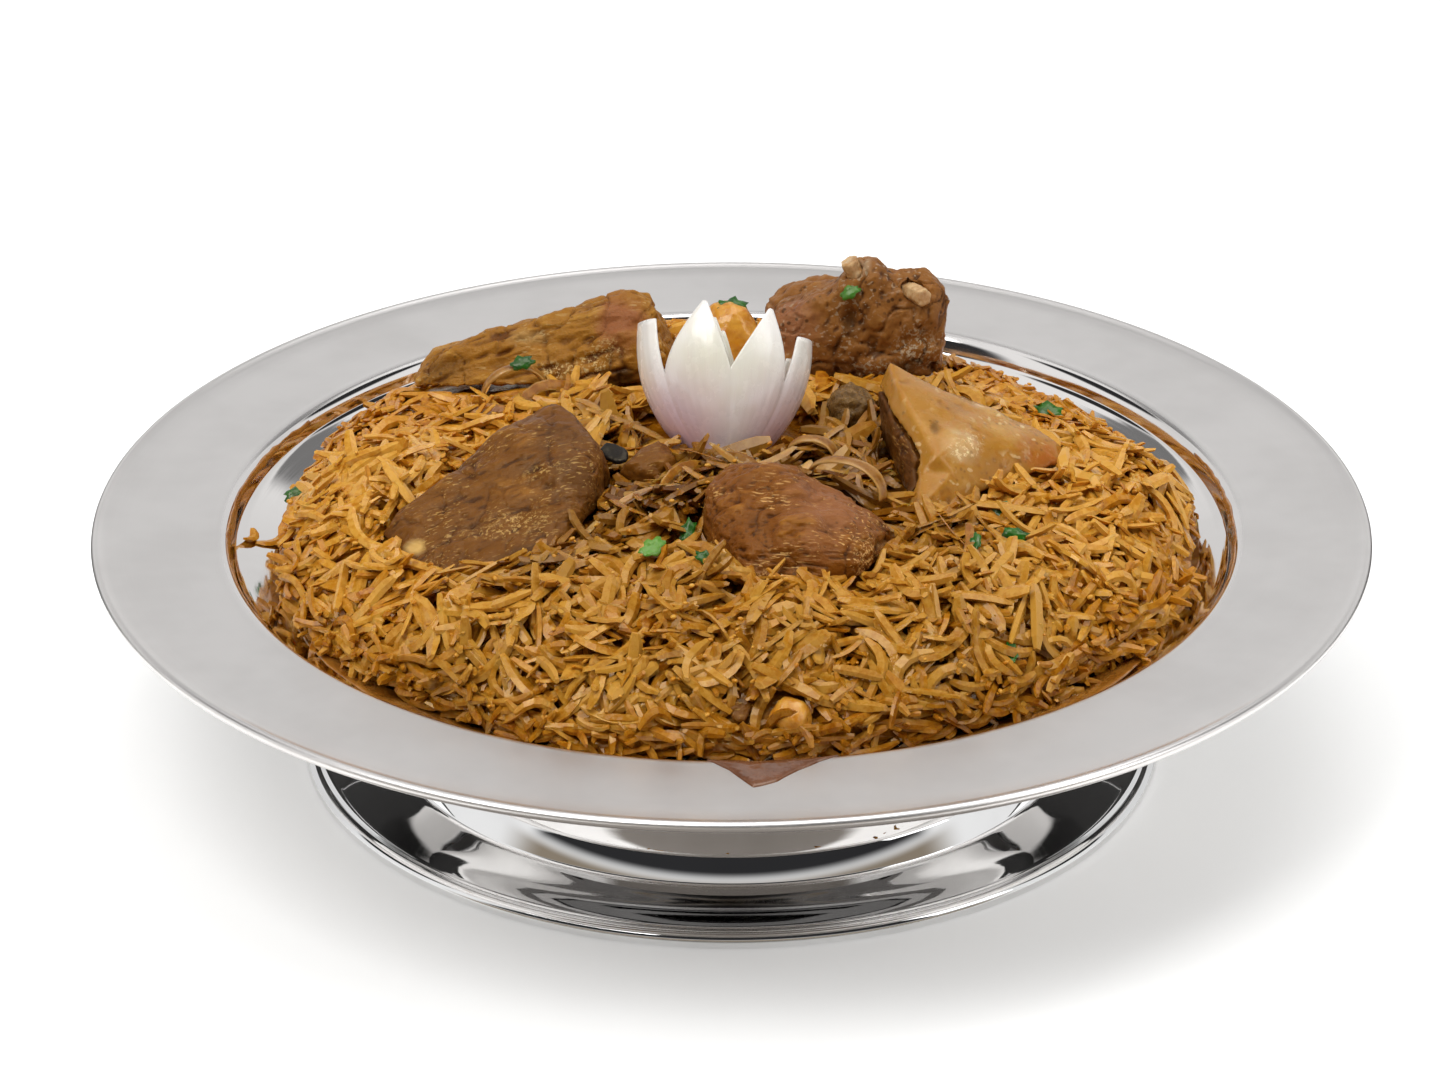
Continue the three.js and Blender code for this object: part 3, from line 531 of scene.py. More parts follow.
@cache
def pepper_specks() -> bpy.types.NodeTree:
    """Fine dark specks of ground spice."""
    inputs = {"Vector": ("Vector", None), "Specks per metre": ("Float", 500.0)}
    sheet, given = new_tree("pepper_specks", "ShaderNodeTree", inputs, {"Mask": "Float"})
    away = sheet.get("ShaderNodeTexVoronoi", {"Vector": given[0], "Scale": given[1]}, "Distance")
    where = sheet.spread(sheet.noise(given[0], 120.0, 2.0), 0.48, 0.6)
    sheet.add("NodeGroupOutput", {0: sheet.math("MULTIPLY", sheet.spread(away, 0.3, 0.16), where)})
    return sheet.tree


class Finish:
    """What every finish can do: make its material once."""

    name: str

    @cache
    def material(self) -> bpy.types.Material:
        """The finish's material, built on the first call."""
        material = bpy.data.materials.new(self.name)
        material.use_nodes = True
        material.node_tree.nodes.clear()
        sheet = NodeSheet(material.node_tree)
        shader = sheet.add("ShaderNodeBsdfPrincipled")
        sheet.add("ShaderNodeOutputMaterial", {"Surface": shader.outputs[0]})
        self.dress(sheet, shader)
        return material

    def dress(self, sheet: NodeSheet, shader: bpy.types.Node) -> None:
        """Joins the finish's nodes to the shader.

        Args:
            sheet: the material's nodes.
            shader: its Principled shader.
        """
        raise NotImplementedError

    @staticmethod
    def glaze(sheet: NodeSheet, wet: float, dry: float) -> object:
        """Roughness between that of wet and of dry patches."""
        return sheet.group(moist_glaze(), {"Vector": sheet.place(), "Wet": wet, "Dry": dry}).outputs[0]

    @staticmethod
    def bump(sheet: NodeSheet, shader: bpy.types.Node, height: object, depth: float, strength: float) -> None:
        """Joins a height to the shader as relief.

        Args:
            sheet: the material's nodes.
            shader: its Principled shader.
            height: the height's socket.
            depth: depth of the relief in metres.
            strength: how strongly it shows.
        """
        bump = sheet.get("ShaderNodeBump", {"Height": height, "Distance": depth, "Strength": strength})
        sheet.fill(shader, {"Normal": bump, "Coat Normal": bump})


@dataclass(frozen=True)
class SteelFinish(Finish):
    """Stainless steel, satin where it is far enough from the axis and polished inside that."""

    name: str
    tint: tuple
    polished: float
    satin: float
    satin_from: float  # radius in metres where the satin starts
    haze: float = 1.0  # how strongly turning marks and smears dull it

    def dress(self, sheet: NodeSheet, shader: bpy.types.Node) -> None:
        """Fine turning rings, smears, and wear on the satin part.

        Args:
            sheet: the material's nodes.
            shader: its Principled shader.
        """
        place = sheet.place()
        x, y, z = sheet.axes(place)
        reach = sheet.get("ShaderNodeVectorMath", {0: sheet.vector(x, y)}, "Value", operation="LENGTH")
        satin = sheet.spread(reach, self.satin_from - 0.0012, self.satin_from + 0.0012)
        rings = sheet.noise(sheet.vector(reach, 0.0, z), 2600.0, 2.0)
        smear = sheet.noise(place, 28.0, 3.0, 0.6)
        wear = sheet.noise(place, 900.0, 2.0)
        base = sheet.blend(sheet.spread(smear, 0.35, 0.7, (0.0, 0.12)), self.tint, colour(152, 148, 144))
        fine = sheet.spread(rings, 0.3, 0.7, (-0.02 * self.haze, 0.05 * self.haze))
        smudge = sheet.spread(smear, 0.45, 0.75, (0.0, 0.05 * self.haze))
        rough = sheet.math("ADD", sheet.math("ADD", fine, smudge), self.polished)
        rough = sheet.math("ADD", rough, sheet.math("MULTIPLY", satin, self.satin - self.polished))
        sheet.fill(shader, {"Base Color": base, "Roughness": rough, "Metallic": 1.0})
        self.bump(sheet, shader, sheet.math("MULTIPLY", sheet.math("ADD", rings, wear), satin), 0.00002, 0.5)


@dataclass(frozen=True)
class RiceFinish(Finish):
    """Cooked rice, coloured by how much sauce each grain has taken up, and by a kept tone that paints shade on grains
    low in the pile.
    """

    name: str
    shadow: tuple
    middle: tuple
    light: tuple
    roughness: float = 0.3
    coat: float = 0.35
    sauced: tuple = (0.2, 0.13, 0.055, 1.0)  # share of its colour that is left under thick sauce

    def dress(self, sheet: NodeSheet, shader: bpy.types.Node) -> None:
        """A mottled tone, with painted shade from the kept tone, darkened where the grain has taken up sauce.

        Args:
            sheet: the material's nodes.
            shader: its Principled shader.
        """
        place = sheet.place()
        mottle = sheet.spread(sheet.noise(place, 520.0, 3.0, 0.6), 0.3, 0.7, (-0.26, 0.26))
        tone = sheet.math("ADD", sheet.kept("tone"), mottle)
        low = sheet.blend(sheet.spread(tone, 0.0, 0.5), self.shadow, self.middle)
        base = sheet.blend(sheet.spread(tone, 0.45, 1.0), low, self.light)
        looks = {
            "Base Color": sheet.blend(sheet.kept("sauce"), base, self.sauced, "MULTIPLY"),
            "Roughness": self.glaze(sheet, self.roughness - 0.12, self.roughness + 0.14),
            "Coat Weight": self.coat,
            "Coat Roughness": 0.06,
            "Coat Tint": (1.0, 0.84, 0.5, 1.0),
            "Specular IOR Level": 0.4,
            "Specular Tint": (1.0, 0.74, 0.34, 1.0),
            "Subsurface Weight": 0.3,
            "Subsurface Radius": (1.0, 0.8, 0.6),
            "Subsurface Scale": 0.0012,
        }
        sheet.fill(shader, looks)
        self.bump(sheet, shader, sheet.noise(place, 1100.0, 2.0), 0.0001, 0.6)


@dataclass(frozen=True)
class MeatFinish(Finish):
    """Stewed meat: fibres, moist patches, spice specks, and patches that the mesh keeps, among them painted shade and
    pale flecks that are partly painted glints.
    """

    name: str
    dark: tuple
    middle: tuple
    light: tuple
    blush: tuple
    pale: tuple
    fibre_turn: tuple = (0.0, 0.0, 0.0)
    fibre_size: tuple = (0.18, 1.0, 1.0)
    fibres: float = 700.0
    depth: float = 0.0005
    wet: float = 0.3
    dry: float = 0.6
    coat: float = 0.1
    subsurface: float = 0.06
    specks: float = 0.6
    streaks_and_glints: float = 0.45

    def dress(self, sheet: NodeSheet, shader: bpy.types.Node) -> None:
        """Fibres and mottle, then blush, pale streaks that are partly painted glints, froth flecks that are partly
        painted glints, spice, and painted shade over them.

        Args:
            sheet: the material's nodes.
            shader: its Principled shader.
        """
        place = sheet.place()
        along = sheet.stretched(self.fibre_turn, self.fibre_size)
        fibres = {"Vector": along, "Fibres per metre": self.fibres, "Waviness": 0.004}
        mask, height = sheet.group(muscle_fibres(), fibres).outputs
        mottle = sheet.spread(sheet.noise(place, 130.0, 5.0, 0.62), 0.25, 0.75, (-0.16, 0.16))
        tone = sheet.math("ADD", sheet.kept("tone"), mottle)
        tone = sheet.math("ADD", tone, sheet.spread(mask, 0.0, 1.0, (-0.1, 0.1)))
        low = sheet.blend(sheet.spread(tone, -0.2, 0.45), self.dark, self.middle)
        base = sheet.blend(sheet.spread(tone, 0.5, 1.1), low, self.light)
        base = sheet.blend(sheet.kept("blush"), base, self.blush)
        # Pale hairline streaks along the fibres: strands of fibre, partly painted glints.
        hair_and_glint = sheet.spread(sheet.noise(along, 2.6 * self.fibres, 1.0), 0.6, 0.68)
        where = sheet.spread(sheet.noise(place, 75.0, 2.0), 0.42, 0.6, (0.0, self.streaks_and_glints))
        base = sheet.blend(sheet.math("MULTIPLY", hair_and_glint, where), base, self.pale)
        # Froth flecks, partly painted glints: pale flecks where the mesh keeps them.
        fleck = sheet.noise(place, 900.0, 3.0, 0.7)
        froth_and_glint = sheet.math("MULTIPLY", sheet.kept("froth_and_glint"), sheet.spread(fleck, 0.5, 0.62))
        base = sheet.blend(sheet.math("MAXIMUM", sheet.kept("pale"), froth_and_glint), base, self.pale)
        spice = sheet.group(pepper_specks(), {"Vector": place, "Specks per metre": 420.0}).outputs[0]
        base = sheet.blend(sheet.math("MULTIPLY", spice, self.specks), base, colour(58, 34, 18))
        looks = {
            # The darkest colour is painted shade, laid where the mesh keeps it: under overhangs, at low edges and in
            # grooves.
            "Base Color": sheet.blend(sheet.kept("painted_shade"), base, colour(34, 16, 8)),
            "Roughness": self.glaze(sheet, self.wet, self.dry),
            "Coat Weight": self.coat,
            "Coat Roughness": 0.14,
            "Specular IOR Level": 0.25,
            "Specular Tint": (1.0, 0.64, 0.28, 1.0),
            "Subsurface Weight": self.subsurface,
            "Subsurface Radius": (1.0, 0.35, 0.15),
            "Subsurface Scale": 0.003,
        }
        sheet.fill(shader, looks)
        self.bump(sheet, shader, sheet.math("ADD", height, sheet.math("MULTIPLY", fleck, 0.5)), self.depth, 0.9)


@dataclass(frozen=True)
class OnionFinish(Finish):
    """Raw onion flesh: white, flushed low down, with fine lines from root to tip."""

    name: str
    white: tuple
    cream: tuple
    flush: tuple
    green: tuple

    def dress(self, sheet: NodeSheet, shader: bpy.types.Node) -> None:
        """Clouded white with a flush low down and fine lines up the petals.

        Args:
            sheet: the material's nodes.
            shader: its Principled shader.
        """
        rise = sheet.kept("rise")
        cloud = sheet.spread(sheet.noise(sheet.place(), 55.0, 3.0, 0.5), 0.38, 0.62)
        base = sheet.blend(cloud, self.white, self.cream)
        base = sheet.blend(sheet.math("MULTIPLY", sheet.kept("heart"), 0.75), base, self.green)
        low = sheet.math("MULTIPLY", sheet.spread(rise, 0.75, 0.15), sheet.kept("flush"))
        base = sheet.blend(low, base, self.flush)
        lines = sheet.noise(sheet.vector(sheet.kept("vein"), rise), 9.0)
        looks = {
            "Base Color": sheet.blend(sheet.spread(lines, 0.5, 0.75, (0.0, 0.1)), base, self.flush),
            "Roughness": self.glaze(sheet, 0.16, 0.34),
            "Coat Weight": 0.35,
            "Coat Roughness": 0.1,
            "Subsurface Weight": 0.25,
            "Subsurface Radius": (1.0, 0.85, 0.8),
            "Subsurface Scale": 0.004,
        }
        sheet.fill(shader, looks)
        self.bump(sheet, shader, lines, 0.0001, 0.3)


@dataclass(frozen=True)
class SoftFinish(Finish):
    """Soft glazed bits: stewed onion, golden lumps, peel, leaf, bone, spice and sauce."""

    name: str
    first: tuple
    second: tuple
    edge: tuple
    scale: float = 260.0
    roughness: float = 0.3
    coat: float = 0.5
    subsurface: float = 0.1
    depth: float = 0.0002

    def dress(self, sheet: NodeSheet, shader: bpy.types.Node) -> None:
        """Blotches of two colours, and a third where the tone is high.

        Args:
            sheet: the material's nodes.
            shader: its Principled shader.
        """
        place = sheet.place()
        blotch = sheet.noise(place, self.scale, 4.0, 0.6)
        vein = sheet.noise(place, 3.1 * self.scale, 2.0, 0.6)
        base = sheet.blend(sheet.spread(blotch, 0.35, 0.65), self.first, self.second)
        looks = {
            "Base Color": sheet.blend(sheet.spread(sheet.kept("tone"), 0.5, 1.0), base, self.edge),
            "Roughness": self.glaze(sheet, 0.6 * self.roughness, 1.4 * self.roughness),
            "Coat Weight": self.coat,
            "Coat Roughness": 0.1,
            "Specular IOR Level": 0.3,
            "Specular Tint": (1.0, 0.8, 0.5, 1.0),
            "Subsurface Weight": self.subsurface,
            "Subsurface Radius": (1.0, 0.6, 0.3),
            "Subsurface Scale": 0.002,
        }
        sheet.fill(shader, looks)
        self.bump(sheet, shader, sheet.math("ADD", blotch, vein), self.depth, 0.7)


class Plain(Finish):
    """The floor that the plate stands on."""

    name = "pale_floor"

    def dress(self, sheet: NodeSheet, shader: bpy.types.Node) -> None:
        """White to the eye; for mirrored rays only, painted reflections: near-black behind the plate and grey in the
        middle ahead of it, where the floor also stops glowing.

        Args:
            sheet: the material's nodes.
            shader: its Principled shader.
        """
        across, depth, _ = sheet.axes(sheet.place())
        mirrored = sheet.get("ShaderNodeLightPath", out="Is Glossy Ray")
        # Painted reflection: the floor is dark only to mirrored rays, so the steel mirrors a dark table that is not
        # there.
        behind = sheet.math("MULTIPLY", mirrored, sheet.spread(depth, 0.085, 0.1))
        middle = sheet.spread(sheet.math("ABSOLUTE", across), 0.17, 0.13)
        ahead = sheet.math("MULTIPLY", sheet.math("MULTIPLY", mirrored, middle), sheet.spread(depth, -0.12, -0.14))
        base = sheet.blend(behind, (0.9, 0.9, 0.89, 1.0), (0.02, 0.02, 0.02, 1.0))
        lit = sheet.math("SUBTRACT", 1.0, sheet.math("MAXIMUM", behind, ahead))
        looks = {
            "Base Color": sheet.blend(ahead, base, (0.24, 0.22, 0.2, 1.0)),
            "Emission Color": (1.0, 1.0, 1.0, 1.0),
            "Emission Strength": sheet.math("MULTIPLY", lit, 0.26),
            "Roughness": 0.9,
            "Specular IOR Level": 0.1,
        }
        sheet.fill(shader, looks)


SATIN = SteelFinish("satin_steel", colour(232, 229, 227), 0.05, 0.3, 0.1392)
POLISHED = SteelFinish("polished_steel", colour(236, 236, 236), 0.02, 0.2, 0.5, 0.1)
GRAINS = RiceFinish("rice_grains", colour(156, 90, 6), colour(188, 127, 27), colour(207, 157, 66))
UNDER_RICE = RiceFinish(
    "rice_under_grains", colour(140, 82, 6), colour(174, 112, 18), colour(196, 140, 44), 0.3, 0.3
)
BROWN = MeatFinish(
    "brown_meat", colour(68, 34, 6), colour(106, 62, 14), colour(140, 90, 30), colour(92, 56, 22),
    colour(206, 166, 96), fibre_turn=(0, 0, -20), coat=0.12, specks=0.3,
)
GOLDEN = MeatFinish(
    "golden_meat", colour(96, 52, 12), colour(150, 100, 32), colour(196, 148, 68), colour(140, 84, 50),
    colour(206, 176, 118), fibre_turn=(0, 0, 0), fibre_size=(0.12, 1.0, 1.0), fibres=520.0, depth=0.0008,
)
RED_BROWN = MeatFinish(
    "cross_grained_meat", colour(72, 34, 6), colour(116, 64, 12), colour(160, 104, 34), colour(140, 88, 52),
    colour(206, 160, 96), fibre_turn=(0, 0, 12), fibre_size=(0.16, 1.0, 1.2), fibres=620.0, depth=0.0007,
    streaks_and_glints=0.9,
)
DARK_LEAN = MeatFinish(
    "dark_lean_meat", colour(48, 22, 4), colour(82, 44, 8), colour(124, 74, 20), colour(150, 90, 30),
    colour(196, 150, 84), fibre_turn=(0, 0, 70), depth=0.0005,
)
LUMPY = MeatFinish(
    "lumpy_meat", colour(78, 42, 16), colour(132, 84, 38), colour(164, 114, 56), colour(138, 88, 58),
    colour(184, 168, 140), fibre_size=(0.6, 1.0, 0.8), fibres=420.0, depth=0.0006, specks=0.8,
)
FAT = MeatFinish(
    "soft_fat", colour(132, 80, 14), colour(168, 116, 42), colour(190, 146, 70), colour(170, 98, 40),
    colour(232, 208, 158), fibre_size=(1.0, 1.0, 1.0), fibres=160.0, depth=0.0002, wet=0.16, dry=0.36, coat=0.3,
    subsurface=0.3, specks=0.35,
)
ONION = OnionFinish(
    "raw_onion", colour(243, 238, 234), colour(238, 232, 220), colour(214, 168, 186), colour(218, 220, 186)
)
STEWED_ONION = SoftFinish(
    "stewed_onion", colour(118, 70, 20), colour(154, 104, 40), colour(188, 144, 78), coat=0.5, subsurface=0.3
)
GOLDEN_LUMP = SoftFinish(
    "golden_lump", colour(186, 118, 26), colour(208, 148, 52), colour(226, 182, 96), coat=0.7, subsurface=0.3
)
SPICE = SoftFinish(
    "spice_lump", colour(92, 62, 22), colour(128, 92, 40), colour(168, 132, 74), scale=700.0, depth=0.0008
)
PEEL = SoftFinish("dark_peel", colour(10, 12, 18), colour(20, 20, 26), colour(44, 38, 34), coat=0.05, roughness=0.5)
SHREDS = SoftFinish(
    "onion_shreds", colour(132, 80, 18), colour(168, 114, 38), colour(198, 148, 74), coat=0.5, subsurface=0.5
)
SAUCE = SoftFinish(
    "brown_sauce", colour(140, 86, 26), colour(168, 112, 44), colour(196, 142, 72), scale=90.0, roughness=0.16, coat=1.0
)
DRIP = SoftFinish(
    "dried_drip", colour(92, 52, 28), colour(112, 70, 46), colour(134, 92, 64), scale=90.0, roughness=0.2, coat=0.6
)
LEAF = SoftFinish(
    "herb_leaf", colour(16, 70, 20), colour(34, 98, 24), colour(88, 146, 44), coat=0.5, roughness=0.35
)
BONE = SoftFinish(
    "bone", colour(172, 126, 76), colour(202, 168, 122), colour(150, 106, 60), scale=420.0, coat=0.4, roughness=0.4
)


def placed(piece: bpy.types.Object, finish: Finish, slot: str, *nodes: str) -> bpy.types.Object:
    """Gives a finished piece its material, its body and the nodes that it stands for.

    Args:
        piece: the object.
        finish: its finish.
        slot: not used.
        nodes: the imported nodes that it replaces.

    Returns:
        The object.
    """
    piece.data.materials.clear()
    piece.data.materials.append(finish.material())
    if nodes:
        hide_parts(*nodes)
    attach(piece, "root")
    triangles = sum(len(p.vertices) - 2 for p in piece.data.polygons)
    log.info("%s: %d triangles", piece.name, triangles)
    return piece


# The steel


@dataclass
class SteelDish:
    """The round dish: a flat satin rim and a polished well."""

    radius: float = 175.0
    bead_radius: float = 1.5
    rim_top: float = 68.0
    sheet: float = 1.0
    well_radius: float = 139.8
    shoulder_width: float = 4.0
    shoulder_drop: float = 5.2
    floor_radius: float = 104.0
    floor_top: float = 53.0
    wall_power: float = 1.05
    sides: int = 288

    def wall(self) -> Profile:
        """Profile of the well's wall, from the flat floor up to the shoulder."""
        outer = self.well_radius - self.shoulder_width
        rise = self.rim_top - self.shoulder_drop - self.floor_top
        return [
            (
                self.floor_radius + share * (outer - self.floor_radius),
                self.floor_top + rise * share**self.wall_power,
            )
            for share in np.linspace(0, 1, 15)
        ]

    def height(self, radius: Array) -> Array:
        """Height of the well's surface at each radius, in millimetres."""
        run = np.array([*self.wall(), *self.shoulder()[1:], (self.radius, self.rim_top)])
        return np.interp(radius, [0, *run[:, 0]], [self.floor_top, *run[:, 1]])

    def shoulder(self) -> Profile:
        """Profile of the rounded step from the wall up to the flat rim."""
        points = [
            self.wall()[-1],
            (self.well_radius - 0.45 * self.shoulder_width, self.rim_top - 0.2 * self.shoulder_drop),
            (self.well_radius, self.rim_top), (self.well_radius + 3, self.rim_top),
        ]
        return spline(points, 5)

    def profile(self) -> Profile:
        """Closed profile, up the outside and back over the top."""
        wall, shoulder = self.wall(), self.shoulder()
        middle = (self.radius - self.bead_radius, self.rim_top - 0.6 * self.bead_radius)
        bead = arc(middle, self.bead_radius, 125, -125, 16)
        rim = [(r, self.rim_top) for r in np.linspace(self.well_radius + 6, self.radius - 4, 5)]
        below = [(r, z - self.sheet) for r, z in wall]
        below += [(self.well_radius + 0.4, self.rim_top - self.sheet)]
        below += [(self.radius - 2 * self.bead_radius, self.rim_top - self.sheet)]
        top = [(0.01, self.floor_top), *wall, *shoulder[1:], *rim, *bead]
        under = [(0.01, self.floor_top - self.sheet), *below]
        return [*under, *reversed(top)]

    def build(self) -> bpy.types.Object:
        """Makes the dish."""
        return placed(lathed("steel_dish", self.profile(), self.sides), SATIN, "satin_steel", "dish")


@dataclass
class SteelFoot:
    """The spun foot: a rolled edge, a polished flange, a steep band and a hollow cove."""

    radius: float = 118.5
    bead_radius: float = 2.5
    sheet: float = 1.0
    top: float = 51.65
    flange: tuple = ((113.6, 3.9), (104.0, 4.3), (96.0, 5.9), (94.2, 6.6))
    band: tuple = ((93.9, 7.2), (92.0, 13.6))
    cove: tuple = ((91.2, 14.6), (84.6, 22.0), (82.4, 30.0), (82.4, 37.0), (87.0, 51.65))
    sides: int = 288

    def profile(self) -> Profile:
        """Closed profile: up the outside, and back down the inside."""
        middle = self.radius - self.bead_radius
        stand = [(middle - 1, 0.0), (middle + 1, 0.0)]
        bead = arc((middle, self.bead_radius), self.bead_radius, -60, 110, 14)
        flange = spline(list(self.flange), 5)
        cove = spline(list(self.cove), 6)
        outside = [*flange, *self.band, *cove]
        inside = [
            *[(r - self.sheet - 0.2, z - 0.3) for r, z in reversed(cove)],
            (self.band[0][0] - 1.3, self.band[0][1] - 0.9),
            *[(r - 0.6, z - 1.2) for r, z in reversed(flange)],
        ]
        inside[0] = (self.cove[-1][0] - 1.4, self.top)
        return [*stand, *bead, *outside, *inside]

    def build(self) -> bpy.types.Object:
        """Makes the foot."""
        piece = lathed("steel_foot", self.profile(), self.sides)
        return placed(piece, POLISHED, "polished_steel", "foot")


# The rice


class Scatter:
    """Small rounded bits, all put into one mesh by Geometry Nodes."""

    def __init__(self, name: str, radius: float) -> None:
        """Starts with no bits.

        Args:
            name: name of the piece.
            radius: radius in metres of a bit of size one.
        """
        self.name = name
        self.radius = radius
        self.bits: list[tuple] = []

    def drop(self, spot: Array, size: Array, turn: float, tone: float) -> None:
        """Adds one bit: its place in millimetres, size along three axes, turn in radians and lightness."""
        self.bits.append((spot, size, turn, tone))

    def build(self, finish: Finish, slot: str) -> bpy.types.Object:
        """Makes the piece.

        Args:
            finish: what the bits are dressed in.
            slot: name of a material slot, handed on to placed.

        Returns:
            The object.
        """
        inputs = {"Points": ("Geometry", None), "Radius": ("Float", self.radius)}
        sheet, given = new_tree(self.name, "GeometryNodeTree", inputs, {"Bits": "Geometry"})
        bit = sheet.get("GeometryNodeMeshIcoSphere", {"Radius": given[1], "Subdivisions": 2}, "Mesh")
        sheet.scatter(given[0], bit, finish.material(), True, {})
        spots, sizes, turns, tones = (np.array(values) for values in zip(*self.bits))
        spin = np.stack([0.3 * np.sin(7 * turns), 0.3 * np.cos(5 * turns), turns], 1)
        kept = {"turn": spin, "size": sizes, "tone": tones}
        return placed(grown(self.name, sheet.tree, spots, kept, {}), finish, slot)


class HeightMap:
    """Heights over a square grid of places, in millimetres."""

    CELL = 0.8
    REACH = 140.0

    def __init__(self) -> None:
        """Lays out the grid."""
        self.line = np.arange(-self.REACH, self.REACH + self.CELL, self.CELL)
        self.x, self.y = np.meshgrid(self.line, self.line)

    def cells(self, x: Array, y: Array) -> tuple[Array, Array]:
        """Row and column of each place."""
        last = len(self.line) - 1
        column = np.clip(np.rint((x + self.REACH) / self.CELL).astype(int), 0, last)
        row = np.clip(np.rint((y + self.REACH) / self.CELL).astype(int), 0, last)
        return row, column

    def tops(self, nodes: list[str]) -> Array:
        """Height of the highest surface of some nodes over each place.

        Args:
            nodes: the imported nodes.

        Returns:
            Heights, and minus infinity where there is nothing.
        """
        points, faces = [], []
        for node in nodes:
            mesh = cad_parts[node].data
            start = len(points)
            points.extend(v.co[:] for v in mesh.vertices)
            faces.extend([start + v for v in p.vertices] for p in mesh.polygons)
        tree = BVHTree.FromPolygons(points, faces)
        heights = np.full(self.x.shape, -np.inf)
        down = Vector((0, 0, -1))
        inside = np.hypot(self.x, self.y) < self.REACH
        for row, column in zip(*np.nonzero(inside)):
            start_at = (self.x[row, column] * MM, self.y[row, column] * MM, 0.2)
            hit = tree.ray_cast(start_at, down)[0]
            if hit is not None:
                heights[row, column] = hit.z / MM
        return heights


GRAIN_LENGTH = 0.013  # of a grain of size one, in metres
GRAIN_WIDTH = 0.0024


class Grain(Enum):
    """How far a grain bends aside and up, as shares of the largest bend, and how late it tapers."""

    LEFT = (-1.0, 0.3, 5.0)
    SLIGHT_LEFT = (-0.4, -0.4, 6.0)
    STRAIGHT = (0.1, 0.1, 5.0)
    SLIGHT_RIGHT = (0.5, -0.7, 8.0)
    RIGHT = (1.4, 0.6, 6.0)
    BROKEN = (0.1, 0.0, 8.0)


def scale_of(length: float, width: float, flat: float = 1.0) -> Triple:
    """Scale along three axes of a grain whose length and width are given in millimetres."""
    across = width * MM / GRAIN_WIDTH
    return (length * MM / GRAIN_LENGTH, across, flat * across)


def columns_of(rows: list[tuple]) -> dict[str, Array]:
    """Place, turn, size, kind, tone and sauce of all grains, from one row for each."""
    keys = ("place", "turn", "size", "kind", "tone", "sauce")
    return {key: np.array(values) for key, values in zip(keys, zip(*rows))}


